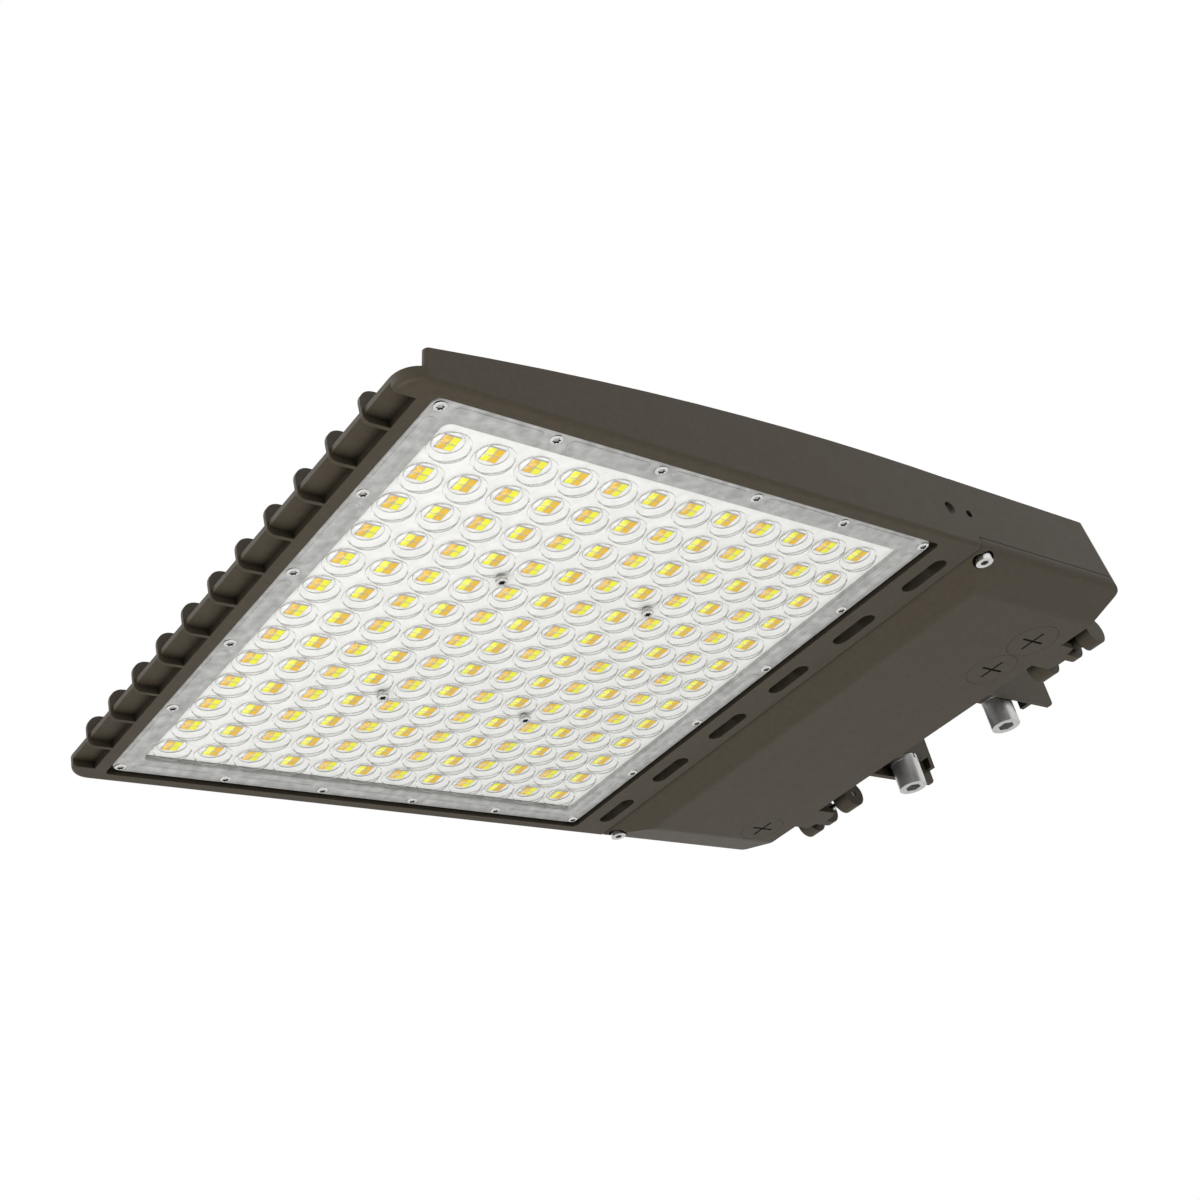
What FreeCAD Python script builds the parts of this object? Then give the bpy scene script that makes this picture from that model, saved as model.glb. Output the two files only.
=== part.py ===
import FreeCAD, Part
import math
import os

# Shoebox area light: a die-cast, finned head for a pole or wall arm.
# Frame: +Z up, the light shines down, -Y is the finned front end and +Y the arm end.
# The origin lies on the clamping face of the two bolt bosses, half way between the bolts.
# All sizes are in millimetres.

V = FreeCAD.Vector
X_AXIS = V(1, 0, 0)
Y_AXIS = V(0, 1, 0)
Z_AXIS = V(0, 0, 1)

# ---------------------------------------------------------------- driving dimensions
# Light field
led_pitch_x = 22.1            # spacing of the lens cells across the head
led_pitch_y = 23.0            # spacing of the lens cells along the head
grid_shift = 4.0              # cell grid sits this far in front of the middle of the recess

# Moulded lens plate
lens_width = 318.2
lens_length = 307.6
lens_thickness = 2.5          # plate in the light field
lens_rim_step = 0.7           # the rim stands this much proud of the field
lens_rim_width = 13.0
lens_corner = 7.0             # corner radius of the plate
lens_gap = 1.5                # open groove between the plate and the recess wall
recess_corner = 3.0
dome_width = 19.6             # one lens dome, across the head
dome_length = 20.9            # one lens dome, along the head
dome_height = 4.6
dome_shoulder = 0.86          # width at the shoulder, as a share of the base
dome_shoulder_height = 0.55   # height of the shoulder, as a share of the dome
dome_crown = 0.56             # width of the flat top, as a share of the base
dome_sides = 8
dome_root = 0.2               # the dome is sunk this far in the plate
rim_screw_inset = 4.6         # from the edge of the plate to the screw axes
rim_screws_per_side = 6
inner_screw_columns = 2.5     # inner screws, in cell spacings from the middle of the grid
inner_screw_rows = 2.0
lens_screw_r = 1.9
lens_head_r = 3.25
lens_head_height = 1.6
lens_head_sink = 1.6          # head seat, above the field face of the plate
lens_screw_bite = 2.6         # thread length in the housing
lens_screw_slack = 0.3        # radial room round the shanks
screw_fit = 0.05              # radial room of a thread in its hole

# LED board
board_inset_x = 14.0          # edge of the board inside the edge of the lens plate, sides
board_inset_y = 12.7          # the same, front and rear
board_thickness = 1.6
gasket_room = 0.4             # room on each side of the rubber gasket
package_x = 9.5               # two packages side by side, across the head
package_y = 4.05              # one package, along the head
package_height = 0.7
package_gap = 0.5             # between the amber pair and the pale pair of a cell

# Housing, plan
side_flange = 7.6             # from the recess wall to the outer side face
front_flange = 6.9            # from the recess wall to the fin pockets
rear_rail = 26.1              # from the recess wall to the driver compartment
compartment_length = 126.1
bolt_reach = 36.3             # from the bolt axes to the rear edge of the cover
fin_reach = 12.7              # how far the fins stand out in front
web_setback = 1.2             # the web stops this far short of the fins
pocket_side_wall = 11.8       # end wall beside the first and last fin pocket
front_corner = 12.0           # plan radius of the front corners
rear_corner = 7.0             # plan radius of the compartment's rear corners

# Housing, heights
flange_z = -7.5               # underside of the frame round the lens plate
ledge_width = 10.0            # seat for the rim of the lens plate
ledge_height = 3.2            # from the seat up to the plate that carries the board
web_underside = -3.2
web_thickness = 2.8
plate_thickness = 3.2         # plate that carries the LED board and the fins
skirt_thickness = 2.4
skirt_front_setback = 0.3     # skirts start this far behind the fin pockets
skirt_front_lean = 2.6        # front end of a skirt, leaning back from its foot to its top
skirt_corner = 2.0            # rounding of the front end of a skirt
skirt_front_height = 10.4     # top line of fins and skirts at the front
skirt_mid_height = 33.4
skirt_rear_height = 35.0
skirt_mid_share = 0.65        # where the middle height is reached, front to rear
edge_round = 2.4              # rounding of the lower outer edges

# Fins and vents
fin_count = 11
fin_pitch = 27.1
fin_thickness = 1.9
fin_lower_round = 3.5
fin_upper_round = 8.0
vent_count = 6
vent_length = 30.0
vent_width = 9.4
vent_offset = 11.5            # from the compartment to the middle of the vents

# Driver compartment
wall = 3.5
compartment_overhang = 3.0    # inside of the compartment's front wall, before the cover's front
seal_ledge_width = 4.5        # ledge over the cover's front rim
seal_ledge_thickness = 3.0
compartment_height = 38.2     # outer top face
top_bevel = 3.0               # bevel round the top face
top_break = 33.6              # where the top starts to fall, before the rear edge
top_drop = 2.9                # how much it falls
rear_lean = 7.6               # the rear wall leans this far forward at its top
split_z = -1.5                # lower rim of the housing
split_gap = 0.4               # open line between the housing and the cover

# Driver cover
cover_bottom = -14.8
cover_wall = 3.0
cover_corner = 7.0            # rounding of the rear corners
cover_front_slope = 19.9      # plan length of the sloped front face
cover_side_slope = 28.2       # plan width of the sloped side faces
cover_slope_height = 7.6      # from the flat bottom up to the upright strip
cover_bottom_crease = 14.0    # soft crease between the slopes and the flat bottom
cover_upper_crease = 5.0      # soft crease between the slopes and the upright strip
slope_stretch = 1.035         # height of a wall in the slopes, for each unit of thickness
seal_width = 1.8
seal_depth = 1.5
seal_slack = 0.05

# Captive cover screws
screw_inset_x = 7.8           # from the outer side face to the screw axis
screw_inset_y = 8.4           # from the front of the cover to the screw axis
captive_head_r = 4.7
captive_head_height = 7.0
captive_floor = 2.2           # cover metal under the screw's seat
captive_shank_r = 2.4
captive_bite = 4.0            # shank length above the split line
captive_hole_r = 2.9
captive_hole_top = 7.0
corner_boss_r = 7.0
captive_slack = 0.3           # room of the shank in the cover
captive_pocket_gap = 1.1
captive_key = 4.0             # hexagon key, across flats
retainer_thickness = 0.7
retainer_r = 4.2
retainer_room = 0.6
retainer_space = 1.4

# Service ports in the cover
port_y = -60.2
power_port_x = 115.1
distribution_port_x = 83.2
sensor_port_x = -123.4
large_plug_r = 15.5
small_plug_r = 14.3
plug_gap = 0.2
plug_flange = 2.5
plug_neck_step = 3.0          # flange radius less neck radius
plug_neck_length = 4.8
plug_neck_wall = 1.6
plug_fit = 0.08
port_seal_thickness = 0.8
cross_length = 17.0
cross_width = 1.6
cross_depth = 1.4
port_rim = 1.9                # boss wall outside the plug flange
port_boss_rise = 0.3          # boss above the end of the plug's neck

# Hinge of the cover
hinge_y = -10.6
hinge_z = -5.5
knuckle_r = 8.6
pin_r = 2.0
pin_fit = 0.05
outer_knuckle = (118.5, 127.8)
inner_knuckle = (80.5, 92.2)
cover_knuckle = (105.3, 110.6)
cover_tongue = (94.0, 117.0)
tongue_thickness = 3.6
tongue_end = -16.5            # rear edge of the tongue
tongue_corner = (6.0, 2.9)    # slanting corner at its inner end, across and front to rear
tongue_notch = -21.1          # edge of the tongue beside the outer face of its knuckle
tongue_flare = 2.2            # the edge falls back this far toward the outer knuckle
spacer = (111.2, 119.0)       # collar of the outer knuckle
spacer_r = 4.4
shelf_thickness = 3.4
shelf_rear = -5.0
pin_cap = 2.5                 # closed end of the outer knuckle, past the pin
pin_inset = 0.5

# Arm mount
bolt_x = 40.9                 # bolt axes, each side of the middle
bolt_shank_r = 5.9
bolt_hole_r = 6.0
bolt_head_r = 9.0
bolt_head_height = 17.6
bolt_key = 9.0                # hexagon key, across flats
bolt_grip = 22.0              # shank length inside the boss
washer_thickness = 3.0
washer_r = 9.2
washer_gap = 1.2
boss_inner = 8.8              # boss face towards the middle, from the bolt axis
boss_front = 13.0
boss_rear = 16.0
mount_reach = 39.0            # rear edge of the mount, behind the bolt axes
cheek_gap = 1.0               # from the washer to the cheek
cheek_thickness = 3.5
cheek_bottom = -7.5
cheek_start_z = -1.0
cheek_setback = 0.2
cheek_chamfer = 2.0
roof_z = 26.0
roof_thickness = 4.0
lip_width = 4.6
lip_depth = 4.0
lip_bottom = 2.0
rib_start = 17.0
rib_thickness = 3.5
rib_width = 6.6
entry_z = 16.0                # wire entry in the rear wall
entry_r = 7.0
entry_bore_r = 4.5            # hole through the grommet

# Side holes for a glare shield or a tether
shield_hole_r = 3.8
tether_hole_r = 2.2
side_hole_z = 13.5
shield_hole_offset = 16.0     # in front of the cover's front edge
tether_hole_offset = 0.3

# Electrical parts
driver_length = 155.0
driver_width = 70.0
driver_height = 31.0
driver_x = -27.5
driver_y = -100.0
pad_height = 3.0
ear_length = 9.0
ear_thickness = 2.0
ear_inset = 8.0
pad_r = 4.5
driver_screw_r = 2.0
driver_head_r = 3.8
driver_head_height = 2.4
surge_size = (44.0, 36.0, 22.0)
surge_gap = 3.0               # from the driver's ear to the surge protector
surge_shift = -18.0           # from the middle of the driver, front to rear
terminal_size = (34.0, 22.0, 24.0)
terminal_shift = -12.0        # from the middle of the driver, front to rear
input_lead_length = 21.0      # from the driver's end face to the terminal block
terminal_poles = 3
lead_r = 1.2
lead_spacing = 3.2
lead_bend = 6.0
lead_z = 9.0
wireway_y_offset = 47.0       # from the compartment to the hole above the board
wireway_r = 4.0
wireway_half_width = 8.0
ground_gap = 35.0             # from the terminal block to the ground screw
ring_thickness = 1.6
input_lead_z = 18.0

# Selector board and sensor socket on the cover
selector_z = -3.6             # underside of the board
selector_thickness = 1.6
selector_margin = (17.0, 14.0)
post_r = 2.8
post_inset = 3.6
selector_screw_r = 1.2
case_size = (9.0, 5.0, 3.0)
slider_size = (1.8, 1.8)
slider_length = 2.6
slider_travel = 2.0
slider_fit = 0.1
switch_spread = 4.5           # power and colour switches, each side of the port's middle
socket_r = 9.0
socket_bore_r = 6.5
socket_flange_r = 13.0
socket_flange = 1.5
socket_height = 12.0
socket_floor = 2.0

# ---------------------------------------------------------------- places worked out
field_width = lens_width - 2 * lens_rim_width
field_length = lens_length - 2 * lens_rim_width
cells_across = 1 + math.floor((field_width - dome_width) / led_pitch_x)
cells_along = 1 + math.floor((field_length - dome_length) / led_pitch_y)
board_width = lens_width - 2 * board_inset_x
board_length = lens_length - 2 * board_inset_y
recess_width = lens_width + 2 * lens_gap
recess_length = lens_length + 2 * lens_gap
half_width = recess_width / 2 + side_flange
rear_y = -bolt_reach
cover_front_y = rear_y - compartment_length
recess_rear_y = cover_front_y - rear_rail
recess_front_y = recess_rear_y - recess_length
recess_mid_y = (recess_rear_y + recess_front_y) / 2
frame_front_y = recess_front_y - front_flange
fin_front_y = frame_front_y - fin_reach
web_front_y = fin_front_y + web_setback
grid_y = recess_mid_y - grid_shift
web_top = web_underside + web_thickness
lens_face = flange_z + 1.0
lens_top = lens_face + lens_thickness
board_top = lens_top + ledge_height
board_face = board_top - board_thickness
plate_top = board_top + plate_thickness
compartment_front_y = cover_front_y - compartment_overhang
top_line_rear_y = compartment_front_y - wall / 2
cover_top = split_z - split_gap
ceiling_z = compartment_height - wall
screw_x = half_width - screw_inset_x
screw_y = cover_front_y + screw_inset_y
vent_y = cover_front_y - vent_offset
lean_rate = rear_lean / (compartment_height - split_z)
rim_screw_x = lens_width / 2 - rim_screw_inset
rim_screw_y = lens_length / 2 - rim_screw_inset
head_seat_z = lens_face + lens_head_sink
shelf_z = hinge_z + knuckle_r
captive_seat_z = cover_top - captive_floor
slope_z = cover_bottom + cover_slope_height
cheek_inner = bolt_x + washer_r + cheek_gap
cheek_outer = cheek_inner + cheek_thickness
surge_x = driver_x - driver_length / 2 - ear_length - surge_gap - surge_size[0] / 2
surge_at = (surge_x, driver_y + surge_shift)
terminal_x = driver_x + driver_length / 2 + input_lead_length + terminal_size[0] / 2
terminal_at = (terminal_x, driver_y + terminal_shift)
ground_at = (terminal_x + terminal_size[0] / 2 + ground_gap, terminal_at[1])
port_centres = {
    "power": (power_port_x, port_y, large_plug_r),
    "distribution": (distribution_port_x, port_y, large_plug_r),
    "sensor": (sensor_port_x, port_y, small_plug_r),
}


# ---------------------------------------------------------------- shape helpers
def block(x0, x1, y0, y1, z0, z1):
    return Part.makeBox(x1 - x0, y1 - y0, z1 - z0, V(x0, y0, z0))


def rod(radius, x, y, z0, z1):
    return Part.makeCylinder(radius, z1 - z0, V(x, y, z0), Z_AXIS)


def tube(outer, inner, x, y, z0, z1):
    return rod(outer, x, y, z0, z1).cut(rod(inner, x, y, z0, z1))


def cross_rod(radius, x0, x1, y, z):
    return Part.makeCylinder(radius, x1 - x0, V(x0, y, z), X_AXIS)


def prism_x(outline, x0, x1):
    """Solid from a closed (y, z) outline, drawn from x0 to x1."""
    points = [V(x0, y, z) for y, z in outline]
    face = Part.Face(Part.makePolygon(points + points[:1]))
    return face.extrude(V(x1 - x0, 0, 0))


def prism_y(outline, y0, y1):
    """Solid from a closed (x, z) outline, drawn from y0 to y1."""
    points = [V(x, y0, z) for x, z in outline]
    face = Part.Face(Part.makePolygon(points + points[:1]))
    return face.extrude(V(0, y1 - y0, 0))


def prism_z(outline, z0, z1):
    """Solid from a closed (x, y) outline, drawn from z0 to z1."""
    points = [V(x, y, z0) for x, y in outline]
    face = Part.Face(Part.makePolygon(points + points[:1]))
    return face.extrude(V(0, 0, z1 - z0))


def rounded_wire(corners):
    """Closed wire through (point, radius) corners, each rounded by a tangent arc."""
    starts, arcs = [], []
    count = len(corners)
    for i, (point, radius) in enumerate(corners):
        before = (corners[i - 1][0] - point).normalize()
        after = (corners[(i + 1) % count][0] - point).normalize()
        half = before.getAngle(after) / 2
        reach = radius / math.tan(half)
        start = point + before * reach
        end = point + after * reach
        if radius > 0:
            inward = (before + after).normalize()
            middle = point + inward * (radius / math.sin(half) - radius)
            arcs.append(Part.Arc(start, middle, end).toShape())
        else:
            arcs.append(None)
        starts.append((start, end))
    edges = []
    for i in range(count):
        if arcs[i]:
            edges.append(arcs[i])
        edges.append(Part.makeLine(starts[i][1], starts[(i + 1) % count][0]))
    return Part.Wire(edges)


def upright_edges(shape, test):
    """Edges that stand along Z and whose middle passes the test."""
    found = []
    for edge in shape.Edges:
        box = edge.BoundBox
        if box.XLength < 0.01 and box.ZLength > 0.5 and test(box.Center):
            found.append(edge)
    return found


def rounded_plate(x0, x1, y0, y1, z0, z1, radius):
    plate = block(x0, x1, y0, y1, z0, z1)
    return plate.makeFillet(radius, upright_edges(plate, lambda c: True))


def hexagon_rod(across_flats, x, y, z0, z1):
    radius = across_flats / math.sqrt(3)
    corners = []
    for i in range(6):
        turn = math.radians(60 * i)
        corners.append((x + radius * math.cos(turn), y + radius * math.sin(turn)))
    return prism_z(corners, z0, z1)


def both_sides(shape):
    """The shape and its mirror image across the middle plane."""
    return [shape, shape.mirror(V(0, 0, 0), X_AXIS)]


def group(shapes):
    return Part.makeCompound(shapes)


def fuse_all(shapes):
    return shapes[0].multiFuse(shapes[1:]).removeSplitter()


def cut_all(shape, tools):
    return shape.cut(group(tools)).removeSplitter()


def symmetric(count, pitch):
    """Evenly spaced places about zero."""
    return [(i - (count - 1) / 2) * pitch for i in range(count)]


# ---------------------------------------------------------------- housing
def top_line():
    """Arc of the skirts and fins, seen from the side, front to rear."""
    start_y = frame_front_y + skirt_front_setback
    mid_y = start_y + (top_line_rear_y - start_y) * skirt_mid_share
    return Part.Arc(
        V(0, start_y, skirt_front_height),
        V(0, mid_y, skirt_mid_height),
        V(0, top_line_rear_y, skirt_rear_height),
    )


def under_top_line(x0, x1, low, lean):
    """Upright plate from x0 to x1, between the height low and the arched top line."""
    arc = top_line()
    front = V(0, frame_front_y + skirt_front_setback, skirt_front_height)
    rear = V(0, top_line_rear_y, skirt_rear_height)
    front_low = V(0, front.y - lean, low)
    rear_low = V(0, rear.y, low)
    edges = [
        arc.toShape(),
        Part.makeLine(rear, rear_low),
        Part.makeLine(rear_low, front_low),
        Part.makeLine(front_low, front),
    ]
    face = Part.Face(Part.Wire(edges))
    face.translate(V(x0, 0, 0))
    return face.extrude(V(x1 - x0, 0, 0))


def skirt():
    """Right side wall: its front end leans back and is rounded on the outside."""
    wall_plate = under_top_line(
        half_width - skirt_thickness, half_width, web_top - skirt_thickness / 2, skirt_front_lean
    )
    front = []
    for edge in wall_plate.Edges:
        box = edge.BoundBox
        outside = box.XLength < 0.01 and box.XMin > half_width - 0.01
        if outside and box.YMax < frame_front_y + skirt_front_setback + 0.01:
            front.append(edge)
    return wall_plate.makeFillet(skirt_corner, front)


def fin():
    """One fin: a nose with rounded corners in front, then the arched top line."""
    half = fin_thickness / 2
    nose_rear = frame_front_y + skirt_front_setback
    nose = block(-half, half, fin_front_y, nose_rear, flange_z, skirt_front_height)
    for z, radius in ((flange_z, fin_lower_round), (skirt_front_height, fin_upper_round)):
        for edge in nose.Edges:
            box = edge.BoundBox
            if abs(box.Center.y - fin_front_y) < 0.01 and abs(box.Center.z - z) < 0.01:
                nose = nose.makeFillet(radius, [edge])
                break
    top = under_top_line(-half, half, plate_top - plate_thickness / 2, 0)
    under_plate = block(-half - 1, half + 1, frame_front_y, 0, flange_z - 1, web_top)
    return nose.cut(under_plate).fuse(top)


def lower_outer_edges(shape):
    """Outline of the underside, apart from the side that meets the cover."""
    found = []
    for edge in shape.Edges:
        box = edge.BoundBox
        on_bottom = box.ZLength < 0.01 and abs(box.Center.z - flange_z) < 0.01
        meets_cover = box.YLength < 0.01 and abs(box.Center.y - cover_front_y) < 0.01
        if on_bottom and not meets_cover:
            found.append(edge)
    return found


def tray():
    """Flat frame with its rounded lower edge, fin web, recess and vents."""
    frame = block(-half_width, half_width, web_front_y, cover_front_y, flange_z, web_top)
    frame = frame.makeFillet(front_corner, upright_edges(frame, lambda c: c.y < frame_front_y))
    frame = frame.makeFillet(edge_round, lower_outer_edges(frame))
    inner = half_width - skirt_thickness / 2
    plate_front = frame_front_y + skirt_front_setback
    plate = block(-inner, inner, plate_front, cover_front_y, board_top, plate_top)
    pocket_x = half_width - pocket_side_wall
    pocket = block(
        -pocket_x, pocket_x, web_front_y - 1, frame_front_y, flange_z - 1, web_underside
    )
    half_recess = recess_width / 2
    recess = rounded_plate(
        -half_recess, half_recess, recess_front_y, recess_rear_y, flange_z - 1, lens_top,
        recess_corner,
    )
    seat = half_recess - ledge_width
    board_pocket = block(
        -seat, seat, recess_front_y + ledge_width, recess_rear_y - ledge_width, flange_z, board_top
    )
    vents = []
    for x in symmetric(vent_count, 2 * fin_pitch):
        vents.append(
            rounded_plate(
                x - vent_length / 2, x + vent_length / 2,
                vent_y - vent_width / 2, vent_y + vent_width / 2,
                flange_z - 1, plate_top + 1, 0.499 * vent_width,
            )
        )
    return frame.cut(group([pocket, recess, board_pocket])).fuse(plate).cut(group(vents))


def rear_face_y(z):
    """Rear face of compartment and cover at height z: it leans forward going up."""
    return rear_y - (z - cover_bottom) * lean_rate


def compartment():
    """Box over the driver, open below, with its falling top and leaning rear."""
    drop_z = compartment_height - top_drop
    outline = [
        (compartment_front_y - wall, board_top),
        (compartment_front_y - wall, compartment_height - top_bevel),
        (compartment_front_y - wall + top_bevel, compartment_height),
        (rear_y - top_break, compartment_height),
        (rear_face_y(drop_z), drop_z),
        (rear_face_y(split_z), split_z),
        (cover_front_y, split_z),
        (cover_front_y, board_top),
    ]
    shell = prism_x(outline, -half_width, half_width)
    shell = shell.makeFillet(rear_corner, rear_corner_edges(shell))
    top_x = half_width - top_bevel
    section = [
        (-half_width, split_z),
        (half_width, split_z),
        (half_width, compartment_height - top_bevel),
        (top_x, compartment_height),
        (-top_x, compartment_height),
        (-half_width, compartment_height - top_bevel),
    ]
    shell = shell.common(prism_y(section, compartment_front_y - 2 * wall, 0))
    inner = half_width - wall
    low = split_z - 1
    hollow_outline = [
        (cover_front_y, low),
        (cover_front_y, plate_top),
        (compartment_front_y, plate_top),
        (compartment_front_y, ceiling_z),
        (rear_y - top_break - wall / 2, ceiling_z),
        (rear_face_y(ceiling_z - top_drop) - wall, ceiling_z - top_drop),
        (rear_face_y(low) - wall, low),
    ]
    hollow = prism_x(hollow_outline, -inner, inner)
    hollow = hollow.makeFillet(rear_corner - wall, rear_corner_edges(hollow))
    ledge = block(
        -inner - 1, inner + 1, cover_front_y - 1, cover_front_y + seal_ledge_width,
        split_z, split_z + seal_ledge_thickness,
    )
    return shell.cut(hollow).fuse(ledge)


def rear_corner_edges(shape):
    """The two long rear corners of the compartment."""
    found = []
    for edge in shape.Edges:
        box = edge.BoundBox
        tall = box.XLength < 0.01 and box.ZLength > compartment_height / 2
        if tall and box.Center.y > (cover_front_y + rear_y) / 2:
            found.append(edge)
    return found


def hinge_knuckle(span):
    """Housing knuckle with the arm that carries it off the rear wall."""
    x0, x1 = span
    arm = block(x0, x1, rear_face_y(shelf_z) - 1, hinge_y, split_z + 0.5, shelf_z)
    return arm.fuse(cross_rod(knuckle_r, x0, x1, hinge_y, hinge_z))


def hinge_side():
    """Right hinge stand: two knuckles, the collar of the outer one and the shelf above."""
    shelf = block(
        inner_knuckle[0], outer_knuckle[1], rear_face_y(shelf_z + shelf_thickness) - 1, shelf_rear,
        shelf_z, shelf_z + shelf_thickness,
    )
    collar = cross_rod(spacer_r, spacer[0], spacer[1], hinge_y, hinge_z)
    return [hinge_knuckle(outer_knuckle), hinge_knuckle(inner_knuckle), collar, shelf]


def mount_side():
    """Right half of the arm mount: cheek, bolt boss, rib, rear lip and the roof over them."""
    root = rear_face_y(roof_z + roof_thickness) - 1
    boss_x = bolt_x - boss_inner
    top = roof_z + 1
    outline = [
        (root, roof_z + roof_thickness),
        (rear_face_y(cheek_start_z) - 1, cheek_start_z),
        (rear_y - cheek_setback, cheek_start_z),
        (rear_y - cheek_setback, cheek_bottom),
        (mount_reach - cheek_chamfer, cheek_bottom),
        (mount_reach, cheek_bottom + cheek_chamfer),
        (mount_reach, roof_z + roof_thickness),
    ]
    cheek = prism_x(outline, cheek_inner, cheek_outer)
    boss = block(boss_x, cheek_inner + 1, -boss_front, boss_rear, 0, top)
    rib = block(
        cheek_inner - rib_width, cheek_inner + 1, rib_start, rib_start + rib_thickness,
        cheek_bottom, top,
    )
    lip = block(
        cheek_inner - lip_width, cheek_inner + 1, mount_reach - lip_depth, mount_reach,
        lip_bottom, top,
    )
    roof = block(boss_x, cheek_outer, root, mount_reach, roof_z, roof_z + roof_thickness)
    return [cheek, boss, rib, lip, roof]


def driver_screw_places():
    half_x = (driver_length + ear_length) / 2
    half_y = driver_width / 2 - ear_inset
    return [
        (driver_x + sx * half_x, driver_y + sy * half_y) for sx in (-1, 1) for sy in (-1, 1)
    ]


def wireway():
    """Cast duct on the plate, from above the board into the compartment, and its bores."""
    y0 = cover_front_y - wireway_y_offset
    half = wireway_half_width
    rim = half - wireway_r
    outer = block(
        -half, half, y0 - half, compartment_front_y - 1, board_top, lead_z + wireway_r + rim
    )
    down = rod(wireway_r, 0, y0, board_top - 1, lead_z + wireway_r / 2)
    along = Part.makeCylinder(
        wireway_r, wireway_y_offset + wireway_r, V(0, y0 - wireway_r, lead_z), Y_AXIS
    )
    return outer, [down, along]


def rim_screw_places():
    places = []
    columns = symmetric(rim_screws_per_side, 2 * rim_screw_x / (rim_screws_per_side - 1))
    rows = symmetric(rim_screws_per_side, 2 * rim_screw_y / (rim_screws_per_side - 1))
    for x in columns:
        places.append((x, recess_mid_y - rim_screw_y))
        places.append((x, recess_mid_y + rim_screw_y))
    for y in rows[1:-1]:
        places.append((-rim_screw_x, recess_mid_y + y))
        places.append((rim_screw_x, recess_mid_y + y))
    return places


def inner_screw_places():
    x = inner_screw_columns * led_pitch_x
    y = inner_screw_rows * led_pitch_y
    return [(sx * x, grid_y + sy * y) for sx in (-1, 1) for sy in (-1, 1)]


def through_rear_wall(radius, y_room, length):
    """Cylinder square to the leaning rear wall about the wire entry.

    y_room is how far its inner end lies inside the wall's middle.
    """
    lean = math.atan(lean_rate)
    axis = V(0, math.cos(lean), math.sin(lean))
    middle = V(0, rear_face_y(entry_z) - wall / 2, entry_z)
    return Part.makeCylinder(radius, length, middle - axis * y_room, axis)


def housing():
    parts = [tray(), compartment()]
    parts += both_sides(skirt())
    one_fin = fin()
    for x in symmetric(fin_count, fin_pitch):
        copy = one_fin.copy()
        copy.translate(V(x, 0, 0))
        parts.append(copy)
    for piece in hinge_side() + mount_side():
        parts += both_sides(piece)
    duct, bores = wireway()
    parts.append(duct)
    corner = rod(corner_boss_r, screw_x, screw_y, split_z, captive_hole_top + 2)
    inside = block(0, half_width - 1, cover_front_y - 2, 0, split_z, ceiling_z)
    parts += both_sides(corner.common(inside))
    for x, y in driver_screw_places() + [ground_at]:
        parts.append(rod(pad_r, x, y, ceiling_z - pad_height, ceiling_z + 1))
    body = fuse_all(parts)

    cuts = list(bores)
    cuts += both_sides(rod(captive_hole_r, screw_x, screw_y, split_z - 1, captive_hole_top))
    cuts += both_sides(
        rod(retainer_r + retainer_room, screw_x, screw_y, split_z - 1, cover_top + retainer_space)
    )
    cuts += both_sides(rod(bolt_hole_r, bolt_x, 0, -1, bolt_grip + 1))
    cuts += both_sides(
        cross_rod(
            pin_r + pin_fit, inner_knuckle[0] - 1, outer_knuckle[1] - pin_cap, hinge_y, hinge_z
        )
    )
    cuts.append(through_rear_wall(entry_r, wall, 2 * wall))
    for x, y in driver_screw_places() + [ground_at]:
        cuts.append(
            rod(driver_screw_r + screw_fit, x, y, ceiling_z - pad_height - 1, ceiling_z + 1)
        )
    for x, y in rim_screw_places():
        cuts.append(rod(lens_screw_r + screw_fit, x, y, lens_top - 1, lens_top + lens_screw_bite))
    for x, y in inner_screw_places():
        cuts.append(rod(lens_screw_r + screw_fit, x, y, board_top - 1, board_top + lens_screw_bite))
    for radius, offset in ((shield_hole_r, shield_hole_offset), (tether_hole_r, tether_hole_offset)):
        y = cover_front_y - offset
        x0 = half_width - skirt_thickness - 1
        cuts += both_sides(cross_rod(radius, x0, half_width + 1, y, side_hole_z))
    return cut_all(body, cuts)


# ---------------------------------------------------------------- light field
def cell_places():
    """Middle of each cell and its column and row number."""
    places = []
    for column, x in enumerate(symmetric(cells_across, led_pitch_x)):
        for row, y in enumerate(symmetric(cells_along, led_pitch_y)):
            places.append((column, row, x, grid_y + y))
    return places


def faceted_solid(rings):
    """Solid with flat faces through rings of points, which are alike and stacked."""
    faces = []
    for lower, upper in zip(rings, rings[1:]):
        for i, point in enumerate(lower):
            after = (i + 1) % len(lower)
            corners = [point, lower[after], upper[after], upper[i]]
            faces.append(Part.Face(Part.makePolygon(corners + corners[:1])))
    for ring in (rings[0], rings[-1]):
        faces.append(Part.Face(Part.makePolygon(ring + ring[:1])))
    solid = Part.Solid(Part.Shell(faces))
    if solid.Volume < 0:
        solid.reverse()
    return solid


def dome():
    """One lens: an oval dome with a shoulder and a flat top, hanging from the plate."""
    levels = (
        (1.0, lens_face + dome_root),
        (1.0, lens_face),
        (dome_shoulder, lens_face - dome_height * dome_shoulder_height),
        (dome_crown, lens_face - dome_height),
    )
    rings = []
    for share, z in levels:
        points = []
        for i in range(dome_sides):
            turn = 2 * math.pi * (i + 0.5) / dome_sides
            x = dome_width / 2 * share * math.cos(turn)
            y = dome_length / 2 * share * math.sin(turn)
            points.append(V(x, y, z))
        rings.append(points)
    return faceted_solid(rings)


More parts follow.
